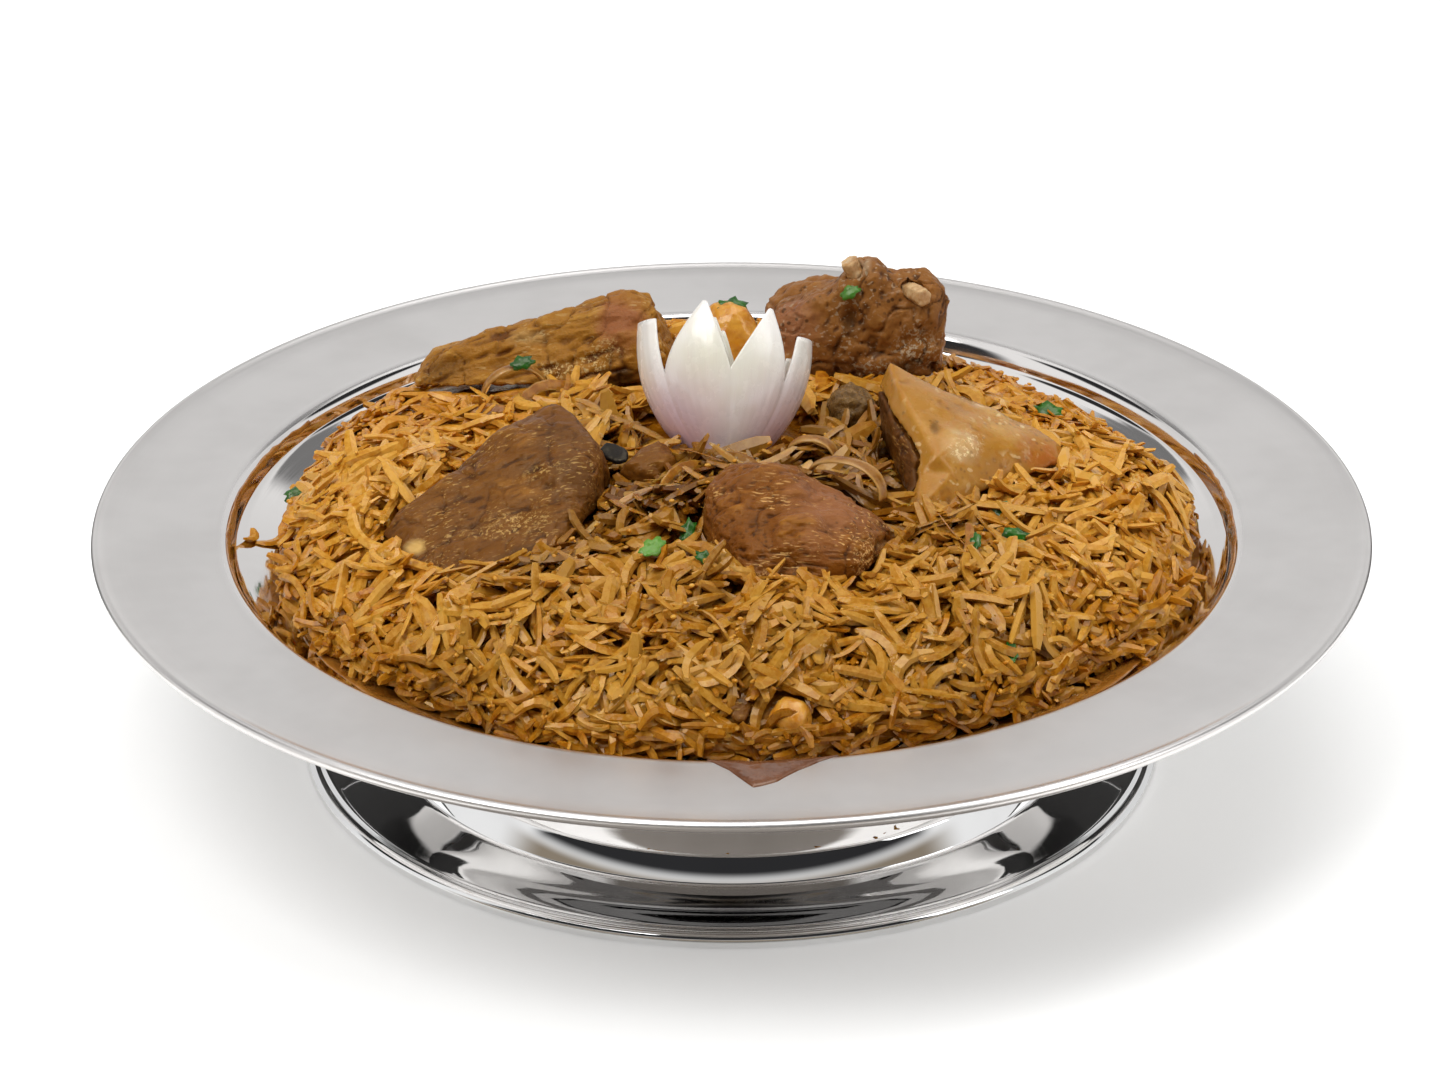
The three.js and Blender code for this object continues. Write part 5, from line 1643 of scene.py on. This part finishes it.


# In the patches below, the darkest kind is painted shade under overhangs, at low edges and in grooves, and the froth
# kind is pale flecks that are partly painted glints.
PIECES = (
    SculptedPiece(
        "meat_front_left", BROWN, "brown_meat", voxel=0.55, fibre_turn=20, fibre_rise=15, fibre=(6.0, 2.2, 2.2),
        fibre_depth=0.3, lump=7.0, lump_depth=0.9, pit_depth=0.35, slit_depth=0.2, crease=9.0, crease_depth=0.5,
        swells=((-45, -20, 98, 11, 1.2), (-44.4, -32.5, 98.3, 9, 1.2), (-50, -26, 98, 4, -1.6)), seed=11,
        patches=(
            Patch(Tint.BLUSH, (-45, -18, 99), (11, 10, 9), 0.8), Patch(Tint.BLUSH, (-43, -32, 97), (9, 8, 9), 0.9),
            Patch(Tint.PAINTED_SHADE, (-72, -66, 77), (30, 6, 6), 0.8), Patch(Tint.PAINTED_SHADE, (-50, -57, 83), (18, 8, 6), 0.9),
            Patch(Tint.FROTH_AND_GLINT, (-55, -44, 90.6), (12, 4, 4), 0.7),
            Patch(Tint.FROTH_AND_GLINT, (-62, -47, 88.9), (12, 4, 4), 0.6),
            Patch(Tint.FROTH_AND_GLINT, (-86, -56, 80), (14, 5, 3), 0.7), Patch(Tint.FROTH_AND_GLINT, (-50, -30, 97), (8, 3, 5), 0.7),
            Patch(Tint.PALE, (-84.9, -47.2, 84.3), (4.2, 2.8, 3), 1.0),
        ),
    ),
    SculptedPiece(
        "meat_back_left", GOLDEN, "golden_meat", voxel=0.6, fibre_turn=2, fibre_rise=18, fibre=(11.0, 2.0, 2.0),
        fibre_depth=0.85, lump=6.0, lump_depth=0.9, pit_depth=0.3, crease=8.0, crease_depth=0.8,
        slit=(6.0, 1.1, 1.1), slit_depth=0.5, seed=12,
        patches=(
            Patch(Tint.BLUSH, (-31, 54.7, 104.2), (9, 12, 10), 0.95),
            Patch(Tint.FROTH_AND_GLINT, (-39.4, 48.4, 93.4), (7, 5, 5), 0.9),
            Patch(Tint.FROTH_AND_GLINT, (-47.8, 49.3, 91.4), (9, 5, 3), 0.9),
            Patch(Tint.FROTH_AND_GLINT, (-33.8, 49.6, 97.4), (5, 4, 4), 0.8),
            Patch(Tint.PAINTED_SHADE, (-29.6, 47.6, 89.7), (8, 5, 5), 0.8),
            Patch(Tint.PALE, (-59, 56, 98), (9, 6, 2.5), 0.3), Patch(Tint.PAINTED_SHADE, (-84, 56, 88), (14, 6, 5), 0.4),
        ),
    ),
    SculptedPiece(
        "meat_back_right", LUMPY, "brown_meat", voxel=0.6, fibre_turn=60, fibre_rise=40, fibre=(5.0, 2.2, 2.2),
        fibre_depth=0.5, lump=6.0, lump_depth=1.6, pit_depth=0.4, slit_depth=0.2, crease=8.0, crease_depth=1.0,
        swells=((41, 55, 104, 9, 2.0), (52, 56, 104, 7, 1.6), (33, 56, 104, 4.5, -2.6), (24, 55, 98, 9, 1.0)),
        seed=13,
        patches=(
            Patch(Tint.BLUSH, (15, 55, 103), (12, 12, 12), 0.85),
            Patch(Tint.PALE, (34.3, 59, 118.1), (6, 6, 2.5), 0.7),
            Patch(Tint.PALE, (53.5, 53.4, 112.1), (3, 4, 4), 0.8),
            Patch(Tint.FROTH_AND_GLINT, (41.4, 53.2, 89.6), (11, 6, 5), 1.0),
            Patch(Tint.FROTH_AND_GLINT, (51.1, 53.4, 95.6), (7, 6, 8), 1.0),
            Patch(Tint.PAINTED_SHADE, (48.4, 52.7, 91.4), (8, 4, 3), 0.5), Patch(Tint.PAINTED_SHADE, (33, 54, 104), (3, 4, 6), 0.6),
        ),
    ),
    SculptedPiece(
        "meat_front_middle", RED_BROWN, "red_brown_meat", voxel=0.5, fibre_turn=8, fibre_rise=-6,
        fibre=(7.0, 1.5, 1.3), fibre_depth=0.55, lump=7.0, lump_depth=0.9, pit_depth=0.3, crease=12.0,
        crease_depth=0.5, slit=(4.0, 0.9, 0.8), slit_depth=0.35,
        swells=(
            (15, -50, 100, 8, 1.2), (18, -59, 97, 7, 1.3), (21, -68, 92, 8, 1.2), (32, -56, 96, 9, 1.2),
            (9, -62, 96, 6, -0.9), (27, -64, 94, 5, -0.8),
        ),
        seed=14,
        patches=(
            Patch(Tint.BLUSH, (26.2, -53, 98.9), (15, 15, 11), 0.95),
            Patch(Tint.BLUSH, (24, -62, 93), (10, 12, 8), 0.7),
            Patch(Tint.FROTH_AND_GLINT, (36.7, -65.6, 89.2), (9, 7, 8), 1.0),
            Patch(Tint.FROTH_AND_GLINT, (7.5, -72.1, 86.6), (9, 5, 3), 0.8), Patch(Tint.PALE, (43, -60, 90), (4, 6, 8), 0.5),
            Patch(Tint.PAINTED_SHADE, (2, -74, 82), (14, 8, 3), 0.6),
        ),
    ),
    SculptedPiece(
        "fat_layer_right", FAT, "soft_fat", voxel=0.7, rounds=12, fibre=(12.0, 5.0, 5.0), fibre_depth=0.12,
        lump=12.0, lump_depth=0.35, pit_depth=0.12, swells=((63, -12, 97, 6, 1.0), (58, -4, 104, 6, -0.8)), seed=15,
        patches=(
            # The pale patch here is a painted highlight band on the fat.
            Patch(Tint.PALE, (62, -12, 97), (7, 8, 6), 0.35), Patch(Tint.FROTH_AND_GLINT, (63, -12, 97), (8, 9, 4), 1.0),
            Patch(Tint.FROTH_AND_GLINT, (56, -33, 87), (9, 6, 5), 1.0), Patch(Tint.BLUSH, (90, -2, 90), (14, 9, 8), 0.95),
            Patch(Tint.PAINTED_SHADE, (55.1, -9, 102), (1.6, 5, 5), 0.5),
        ),
    ),
    SculptedPiece(
        "meat_right", DARK_LEAN, "red_brown_meat", voxel=0.6, fibre_turn=70, fibre=(8.0, 1.8, 1.8), fibre_depth=0.3,
        lump_depth=0.3, slit_depth=0.25, seed=16,
        patches=(
            Patch(Tint.PAINTED_SHADE, (44, -20, 86), (8, 16, 5), 0.7), Patch(Tint.BLUSH, (92, -4, 88), (14, 12, 8), 0.8),
        ),
    ),
    SculptedPiece("meat_scrap_middle", BROWN, "brown_meat", voxel=0.6, rounds=8, lump=3.0, lump_depth=0.7, seed=17),
    SculptedPiece("meat_scrap_front", BROWN, "brown_meat", voxel=0.5, rounds=8, lump=3.0, lump_depth=0.4, seed=18),
    SculptedPiece(
        "golden_lump_back", GOLDEN_LUMP, "golden_lump", voxel=0.7, rounds=6, fibre_depth=0.2, pit_depth=0.1, seed=19
    ),
    SculptedPiece(
        "golden_lump_front", GOLDEN_LUMP, "golden_lump", voxel=0.5, rounds=6, fibre_depth=0.1, pit_depth=0.1, seed=20
    ),
    SculptedPiece(
        "spice_lump", SPICE, "spice_lump", voxel=0.5, lump=2.6, lump_depth=0.7, pit_depth=0.6, rounds=1, seed=21
    ),
    SculptedPiece(
        "lime_peel", PEEL, "dark_peel", voxel=0.35, rounds=6, fibre_depth=0.1, lump=3.0,
        lump_depth=0.2, pit_depth=0.1, seed=22
    ),
    SculptedPiece(
        "rib_bone", BONE, "bone", voxel=0.4, rounds=6, fibre_depth=0.05, lump=2.0,
        lump_depth=0.2, pit_depth=0.3, seed=23
    ),
)


# The onion


@dataclass
class OnionFlower:
    """The onion cut as a flower: cup-shaped layers with a zigzag edge round a small heart."""

    at: tuple = (-1.9, 1.6, 82.8)
    lean: float = 44.0
    radius: float = 24.2
    belly_height: float = 37.0
    belly_power: float = 0.66
    root_radius: float = 8.0
    thickness: float = 2.0
    layers: tuple = ((1.0, 0.0, 0.0), (0.84, 5.0, 1.0), (0.66, 12.0, 1.7))  # size, turn, share of the drop
    petals: tuple = (
        (-110, 22, -84, 42, -55, 39.8, 14), (-51, 23.4, -14.5, 41.6, -11.5, 41.4, 3.6),
        (4.5, 22.9, 31, 40.4, 34, 40, 3.6), (52, 20.6, 58, 34.8, 84, 36.8, 5), (104, 21, 122, 30, 126, 30, 3),
        (144, 20, 162, 29, 166, 29, 3), (184, 20, 202, 29, 206, 29, 3), (222, 20, 236, 30, 240, 30, 3),
    )  # bearing and height of a notch, of both ends of the tip after it, and the inner layers' drop
    tip_inset: float = 0.4
    columns: int = 320
    rows: int = 26
    heart: tuple = ((0.2, 0.5), (0.24, 5), (0.4, 11), (0.36, 17), (0.26, 23), (0.1, 28))

    def cup(self, height: Array) -> Array:
        """Radius of the cup at each height above the root."""
        share = np.clip(height / self.belly_height, 0, 1)
        return np.maximum(self.root_radius, self.radius * (1 - (1 - share) ** 2) ** self.belly_power)

    def edge(self, bearings: Array, turn: float, drop: float) -> tuple[Array, Array, Array]:
        """Height of the cut edge at each bearing, and where it lies on its petal.

        Args:
            bearings: bearings in degrees.
            turn: how far the layer is turned from the outer one, in degrees.
            drop: how much of the drop of each petal the layer has.

        Returns:
            Heights, shares from 0 at a notch to 1 at a tip, and shares across each petal.
        """
        xs, heights, tips, across = [], [], [], []
        for number, (notch, low, first, high, last, end, down) in enumerate(self.petals):
            xs += [notch + turn, first + turn, last + turn]
            heights += [low - 0.33 * drop * down, high - drop * down, end - drop * down]
            tips += [0.0, 1.0, 1.0]
            following = self.petals[number + 1][0] if number + 1 < len(self.petals) else self.petals[0][0] + 360
            wide = following - notch
            across += [number, number + (first - notch) / wide, number + (last - notch) / wide]
        around = (bearings - xs[0]) % 360 + xs[0]
        xs.append(xs[0] + 360)
        height = np.interp(around, xs, [*heights, heights[0]])
        near = np.interp(around, xs, [*tips, 0.0])
        place = np.interp(around, xs, [*across, len(self.petals)]) % 1.0
        return height, near, place

    def layer(self, number: int) -> bpy.types.Object:
        """One layer: a thin closed cup.

        Args:
            number: its number, from the outside.

        Returns:
            The object.
        """
        size, turn, drop = self.layers[number]
        angles = np.arange(self.columns) * 360 / self.columns
        edge, near, place = self.edge(angles, turn, drop)
        crease = np.exp(-((np.minimum(place, 1 - place) / 0.1) ** 2))
        swell = np.sin(math.pi * place)
        wobble = NoiseField(30 + number).fractal(
            np.stack([np.cos(np.radians(angles)), np.sin(np.radians(angles)), 0 * angles], 1) * 3, 2
        )
        points, rise, vein, flush = [], [], [], []
        for side in (0, 1):
            for row in range(self.rows):
                share = (row + 0.4) / (self.rows - 0.6)
                height = edge * share
                thick = self.thickness * (1 - 0.72 * share**2) * side
                inset = self.tip_inset * (0.4 + near) * share**3
                fold = (0.45 * crease - 0.2 * swell) * share
                ribs = 0.03 * np.sin(np.radians(angles) * 46) * np.sin(math.pi * share)
                radius = (self.cup(height) - inset - fold + 0.5 * wobble * share) * size + ribs - thick
                lift = 0.4 * thick * (1 - share)
                x = radius * np.cos(np.radians(angles - 90))
                y = radius * np.sin(np.radians(angles - 90))
                points.append(np.stack([x, y, height + lift], 1))
                rise.append(height / 44.0)
                vein.append(angles / 9.0)
                flush.append(0.2 + 0.6 * np.abs(np.sin(np.radians(angles - 12))) + 0 * height)
        columns, rows = self.columns, self.rows
        inner, top = rows * columns, (rows - 1) * columns
        faces = skin(rows, columns) + skin(rows, columns, inner, inward=True)
        faces += [(a, b, b + inner, a + inner) for a, b, *_ in skin(2, columns, top)]
        faces += fan(2 * inner, 0, columns, inward=True) + fan(2 * inner + 1, inner, columns)
        points = np.vstack([*points, [[0, 0, 0.0]], [[0, 0, 2.2]]])
        name = f"onion_layer_{number + 1}"
        piece = mesh_object(name, self.world(points), faces)
        store(piece.data, "rise", np.concatenate([*rise, [0, 0]]))
        store(piece.data, "vein", np.concatenate([*vein, [0, 0]]))
        store(piece.data, "flush", np.concatenate([*flush, [0.4, 0.4]]))
        store(piece.data, "heart", self.green(points, number))
        return piece

    def green(self, points: Array, number: int) -> Array:
        """How green-cream each point is: most low in the middle of the front.

        Args:
            points: places on the upright flower.
            number: the layer's number, from the outside.

        Returns:
            A share for each point.
        """
        facing = np.clip(-points[:, 1] / self.radius, 0, 1) ** 2
        low = np.exp(-(((points[:, 2] - 22) / 10) ** 2))
        return 0.15 * number + 0.8 * facing * low

    def world(self, points: Array) -> Array:
        """Points of the upright flower, leaned back and moved to its place, in metres."""
        turn = np.array(Matrix.Rotation(-math.radians(self.lean), 3, "X"))
        return (points @ turn.T + np.array(self.at)) * MM

    def middle(self) -> bpy.types.Object:
        """The heart: a small closed bulb."""
        profile = [(share * self.radius, z) for share, z in spline(self.heart, 6)]
        sides = 48
        angles = np.arange(sides) * 2 * math.pi / sides
        points = [
            (r * math.cos(a) * (1 + 0.05 * math.sin(3 * a)), r * math.sin(a), z)
            for r, z in profile
            for a in angles
        ]
        count = len(points)
        points = np.array([*points, (0, 0, profile[0][1] - 0.3), (0, 0, profile[-1][1] + 1.2)])
        faces = skin(len(profile), sides) + fan(count, 0, sides, inward=True) + fan(count + 1, count - sides, sides)
        piece = mesh_object("onion_heart", self.world(points), faces)
        store(piece.data, "rise", points[:, 2] / 44.0)
        store(piece.data, "vein", np.degrees(np.arctan2(points[:, 1], points[:, 0])) / 9)
        store(piece.data, "flush", np.full(len(points), 0.2))
        store(piece.data, "heart", np.full(len(points), 0.9))
        return piece

    def build(self) -> list[bpy.types.Object]:
        """Makes the layers and the heart."""
        made = []
        for number in range(len(self.layers)):
            nodes = ("onion_flower",) if number == 0 else ()
            made.append(placed(self.layer(number), ONION, "raw_onion", *nodes))
        made.append(placed(self.middle(), ONION, "raw_onion"))
        return made


@dataclass
class OnionRibbon:
    """A strip of stewed onion, bent along an upright arc."""

    node: str
    at: tuple
    yaw: float
    radius: tuple
    start: float
    end: float
    width: float
    thickness: float = 1.2
    steps: int = 40
    sway: float = 0.12

    def build(self) -> bpy.types.Object:
        """Makes the strip."""
        sides = 10
        points, tones = [], []
        yaw = math.radians(self.yaw)
        for i in range(self.steps + 1):
            share = i / self.steps
            angle = math.radians(self.start + (self.end - self.start) * share)
            drift = self.sway * self.radius[0] * math.sin(2 * angle)
            taper = 0.55 + 0.45 * math.sin(math.pi * min(1, max(0, 0.08 + 0.84 * share)))
            for k in range(sides):
                turn = 2 * math.pi * k / sides
                across = 0.5 * self.width * taper * math.cos(turn)
                out = 0.5 * self.thickness * math.sin(turn) + 0.35 * math.cos(2 * turn) * math.sin(7 * share)
                x = math.cos(angle) * (self.radius[0] + out)
                z = math.sin(angle) * (self.radius[1] + out)
                y = drift + across
                points.append(
                    (
                        self.at[0] + x * math.cos(yaw) - y * math.sin(yaw),
                        self.at[1] + x * math.sin(yaw) + y * math.cos(yaw),
                        self.at[2] + z,
                    )
                )
                tones.append(0.4 + 0.5 * abs(math.cos(turn)))
        faces = skin(self.steps + 1, sides)
        faces.append(tuple(range(sides - 1, -1, -1)))
        faces.append(tuple(self.steps * sides + k for k in range(sides)))
        piece = mesh_object(self.node + "_dressed", np.array(points) * MM, faces)
        outward(piece)
        store(piece.data, "tone", np.array(tones))
        return placed(piece, STEWED_ONION, "stewed_onion", self.node)


def outward(piece: bpy.types.Object) -> None:
    """Turns the faces of a closed piece to point out, judged by its volume."""
    points = corners_of(piece.data)
    volume = 0.0
    for polygon in piece.data.polygons:
        corners = points[list(polygon.vertices)]
        for i in range(1, len(corners) - 1):
            volume += float(np.dot(corners[0], np.cross(corners[i], corners[i + 1])))
    if volume < 0:
        piece.data.flip_normals()


RIBBONS = (
    OnionRibbon("onion_strip_back_left", (-60, 41, 87.5), 4, (9, 8.6), -8, 192, 4.2),
    OnionRibbon("onion_strip_loop", (22, -6, 90), -24, (7, 6.6), 0, 175, 4.4),
    OnionRibbon("onion_strip_right", (31, -25, 90), -38, (12, 9), 5, 170, 4.6),
)


# Herbs


@dataclass
class HerbBits:
    """Cut leaves scattered on the heap: thin, wavy, with a torn outline."""

    heap: RiceHeap
    spots: tuple = (
        (-57.9, 40, 6, 20), (-63.9, 25, 4, 60), (-119.5, 9.1, 6.5, 25), (-11.8, -51.5, 6, 75), (-21, -68.2, 7, 50),
        (-7, -70.8, 5, 150), (88, 40, 7.5, 160), (79, 44, 6.5, 30), (73.5, -34, 7, 10), (75.8, -47.8, 6, 0),
        (64.8, -59.4, 4.5, 80), (73.2, -93.1, 5.5, 100),
    )  # place, length and bearing
    raised: tuple = ((0.4, 56.9, 107.7, 8, 8, 30), (33.0, 56.2, 112.0, 6, 25, 55))
    thickness: float = 0.25
    lift: float = 1.4

    def leaf(self, length: float, seed: int) -> tuple[Array, list]:
        """A flat-lying leaf round the origin.

        Args:
            length: its length in millimetres.
            seed: number that its outline comes from.

        Returns:
            Its points in millimetres and its faces.
        """
        random = np.random.default_rng(seed)
        sides = 18
        points = []
        lobes = 1 + 0.18 * np.sin(np.arange(sides) * 2.1 + random.uniform(0, 6)) + random.uniform(-0.1, 0.1, sides)
        for side in (1, -1):
            for ring in (0.0, 0.5, 1.0):
                for k in range(sides):
                    turn = 2 * math.pi * k / sides
                    x = 0.5 * length * ring * lobes[k] * math.cos(turn)
                    y = 0.3 * length * ring * lobes[k] * math.sin(turn)
                    wave = 0.3 * math.sin(0.9 * x + seed) + 0.25 * math.sin(1.7 * y + 2 * seed) + 0.03 * y * y
                    points.append((x, y, wave + side * self.thickness * 0.5 * (1 - 0.6 * ring)))
        under = 3 * sides
        faces = skin(3, sides, inward=True) + skin(3, sides, under)
        faces += [(a, a + under, b + under, b) for a, b, *_ in skin(2, sides, 2 * sides)]
        return np.array(points), faces

    def build(self) -> bpy.types.Object:
        """Makes all the leaves as one piece."""
        points, faces, tones = [], [], []
        surface, grid = self.heap.surface, self.heap.map
        rows = []
        for x, y, length, bearing in self.spots:
            row, column = grid.cells(np.array([x]), np.array([y]))
            rows.append((x, y, float(surface[row[0], column[0]]) + self.lift, 1.15 * length, bearing, 0))
        rows += [(x, y, z, length, bearing, tilt) for x, y, z, length, bearing, tilt in self.raised]
        random = np.random.default_rng(5)
        for number, (x, y, z, length, bearing, tilt) in enumerate(rows):
            shape, leaf_faces = self.leaf(length, number + 1)
            roll = math.radians(tilt if tilt else random.uniform(18, 45))
            turn = Euler((roll, math.radians(random.uniform(-12, 12)), 0.0), "XYZ").to_matrix()
            turn = turn @ Matrix.Rotation(math.radians(bearing), 3, "Z")
            start = len(points)
            turned = shape @ np.array(turn).T + np.array((x, y, z))
            points.extend(turned.tolist())
            faces.extend([[start + v for v in face] for face in leaf_faces])
            tones.extend([random.uniform(0.1, 0.95)] * len(shape))
        piece = mesh_object("herb_bits", np.array(points) * MM, faces)
        merge = piece.modifiers.new("merge", "WELD")
        merge.merge_threshold = 0.00002
        store(piece.data, "tone", np.array(tones))
        applied(piece)
        piece.data.shade_smooth()
        return placed(piece, LEAF, "rice")


# Sauce on the steel


@dataclass(frozen=True)
class SauceFilm:
    """A thin film of sauce on the dish, between two radii that change with the bearing."""

    name: str
    start: float  # first bearing in degrees, from +X
    end: float
    inner: tuple  # radii in millimetres at even steps from start to end
    outer: tuple
    thickness: float = 0.4
    ragged: float = 0.5
    finish: Finish = SAUCE
    columns: int = 160
    rows: int = 10

    def build(self, dish: SteelDish) -> bpy.types.Object:
        """Makes the film.

        Args:
            dish: the dish that it lies on.

        Returns:
            The object.
        """
        share = np.linspace(0, 1, self.columns)
        angles = np.radians(self.start + (self.end - self.start) * share)
        even = np.linspace(0, 1, len(self.inner))
        round_spots = np.stack([np.cos(angles), np.sin(angles), 0 * angles], 1)
        noise = NoiseField(len(self.name))
        inner = np.interp(share, even, self.inner) + self.ragged * noise.fractal(round_spots * 22, 2)
        outer = np.interp(share, even, self.outer) + self.ragged * noise.fractal(round_spots * 22 + 9, 2)
        middle, half = (inner + outer) / 2, np.maximum(0.05, (outer - inner) / 2)
        points = []
        for side in (1, -1):
            for row in np.linspace(-1, 1, self.rows):
                radius = middle + row * half
                swell = self.thickness * np.sqrt(max(0.0, 1 - row**2)) + 0.03
                height = dish.height(radius) + (swell if side > 0 else -0.03)
                points.append(np.stack([radius * np.cos(angles), radius * np.sin(angles), height], 1))
        count, rows = self.columns, self.rows
        under = rows * count
        faces = skin(rows, count, inward=True, closed=False) + skin(rows, count, under, closed=False)
        for column in range(count - 1):
            last = (rows - 1) * count + column
            faces.append((column, column + 1, column + 1 + under, column + under))
            faces.append((last + 1, last, last + under, last + 1 + under))
        for row in range(rows - 1):
            a = row * count
            faces.append((a + count, a, a + under, a + count + under))
            b = a + count - 1
            faces.append((b, b + count, b + count + under, b + under))
        piece = mesh_object(self.name, np.vstack(points) * MM, faces)
        outward(piece)
        spots = corners_of(piece.data) / MM
        store(piece.data, "tone", 0.4 + 0.5 * noise.fractal(spots / 8.0, 2))
        return placed(piece, self.finish, "stewed_onion")


FILMS = (
    SauceFilm("sauce_pool", -158, -22, (121, 119, 118, 118, 118, 119, 121), (126, 131, 134.5, 136, 135, 132, 126)),
    SauceFilm("sauce_line_left", 150, 206, (137.3, 137.0, 136.5, 136.9, 137.5), (137.6, 137.9, 138.0, 138.1, 137.8)),
    SauceFilm("sauce_line_right", -42, 20, (137.4, 137.0, 136.6, 136.9, 137.5), (137.7, 138.1, 138.2, 138.1, 137.8)),
    SauceFilm(
        "sauce_spill", -92.6, -78.6, (138.6, 138.4, 138.2, 138.2, 138.2, 138.4, 138.6),
        (138.9, 144.5, 153.5, 151.5, 146.0, 142.0, 139.2), ragged=0.8, finish=DRIP,
    ),
)


# Floor, light and camera


@dataclass
class Studio:
    """The floor, the lights and the camera."""

    pitch: float = 26.04
    distance: float = 2066.0
    aim: tuple = (0.0, 0.0, 68.5)
    lens: float = 188.6
    shift: tuple = (-0.00799, -0.01278)

    def floor(self) -> None:
        """A wide pale floor."""
        reach = 6.0
        corners = [(-reach, -reach, 0), (reach, -reach, 0), (reach, reach, 0), (-reach, reach, 0)]
        piece = mesh_object("floor", np.array(corners), [(0, 1, 2, 3)])
        piece.data.materials.append(Plain().material())

    def sky(self) -> None:
        """Soft light from all round, with a dark band low down that the steel mirrors."""
        world = bpy.data.worlds.new("studio")
        bpy.context.scene.world = world
        world.use_nodes = True
        sheet = NodeSheet(world.node_tree)
        world.node_tree.nodes.clear()
        way = sheet.get("ShaderNodeTexCoord", out="Generated")
        _, depth, height = sheet.axes(way)
        dark = sheet.math("MULTIPLY", sheet.spread(height, 0.24, 0.34), sheet.spread(height, 0.92, 0.86))
        dark = sheet.math("MULTIPLY", dark, sheet.spread(depth, -0.3, -0.42))
        above = sheet.math("MULTIPLY", sheet.spread(height, 0.52, 0.56), sheet.spread(height, 0.72, 0.68))
        above = sheet.math("MULTIPLY", above, sheet.spread(depth, 0.45, 0.55))
        dark = sheet.math("MAXIMUM", dark, sheet.math("MULTIPLY", above, 0.8))
        for spot, most in (((-0.76, 0.22, 0.61), 1.0), ((0.76, 0.22, 0.61), 1.0), ((0.0, 0.3, 0.94), 0.85)):
            dark = sheet.math("MAXIMUM", dark, sheet.spread(sheet.distance(way, spot), 0.3, 0.22, (0.0, most)))
        wall = sheet.math("MULTIPLY", sheet.spread(depth, 0.2, 0.6), sheet.spread(height, 0.6, 0.4))
        pale = sheet.blend(wall, (1.0, 1.0, 1.0, 1.0), (0.82, 0.82, 0.82, 1.0))
        front = sheet.math("MULTIPLY", sheet.spread(height, 0.3, 0.2), sheet.spread(depth, -0.15, -0.45))
        pale = sheet.blend(front, pale, (0.3, 0.25, 0.19, 1.0))
        shade = sheet.blend(dark, pale, (0.03, 0.03, 0.032, 1.0))
        light = sheet.get("ShaderNodeBackground", {"Color": shade, "Strength": 0.95})
        sheet.add("ShaderNodeOutputWorld", {"Surface": light})

    def lamp(self, name: str, at: tuple, size: tuple, power: float) -> None:
        """A soft rectangular lamp that points at the plate.

        Args:
            name: the lamp's name.
            at: its place in metres.
            size: its width and height in metres.
            power: its power in watts.
        """
        data = bpy.data.lights.new(name, "AREA")
        data.shape = "RECTANGLE"
        data.size, data.size_y = size
        data.energy = power
        lamp = bpy.data.objects.new(name, data)
        lamp.location = at
        away = Vector((0, 0, 0.08)) - Vector(at)
        lamp.rotation_euler = away.to_track_quat("-Z", "Y").to_euler()
        bpy.context.scene.collection.objects.link(lamp)

    def camera(self) -> None:
        """The camera at the photograph's angle."""
        data = bpy.data.cameras.new("camera")
        data.sensor_width = 36.0
        data.lens = self.lens
        data.shift_x, data.shift_y = self.shift
        data.clip_end = 50.0
        camera = bpy.data.objects.new("camera", data)
        tilt = math.radians(self.pitch)
        back = Vector((0, -math.cos(tilt), math.sin(tilt)))
        camera.location = (Vector(self.aim) + back * self.distance) * MM
        camera.rotation_euler = (math.pi / 2 - tilt, 0, 0)
        bpy.context.scene.collection.objects.link(camera)
        bpy.context.scene.camera = camera

    def build(self) -> None:
        """Sets up the studio."""
        bpy.context.scene.view_settings.view_transform = "Standard"
        self.floor()
        self.sky()
        self.lamp("key", (-0.8, -0.9, 1.9), (1.2, 1.2), 24.0)
        self.lamp("top", (0.3, 0.3, 2.2), (1.4, 1.4), 16.0)
        self.lamp("fill", (1.5, -0.7, 1.2), (0.8, 1.0), 6.0)
        self.camera()


def main() -> None:
    """Builds the plate, piece by piece, and its studio."""
    logging.basicConfig(level=logging.INFO, format="%(name)s: %(message)s")
    Studio().build()
    dish = SteelDish()
    dish.build()
    SteelFoot().build()
    toppings = [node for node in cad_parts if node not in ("dish", "foot", "rice")]
    heap = RiceHeap(dish, toppings)
    heap.build()
    for piece in PIECES:
        piece.build()
    OnionFlower().build()
    for ribbon in RIBBONS:
        ribbon.build()
    HerbBits(heap).build()
    for film in FILMS:
        film.build(dish)


if __name__ == "__main__":
    main()
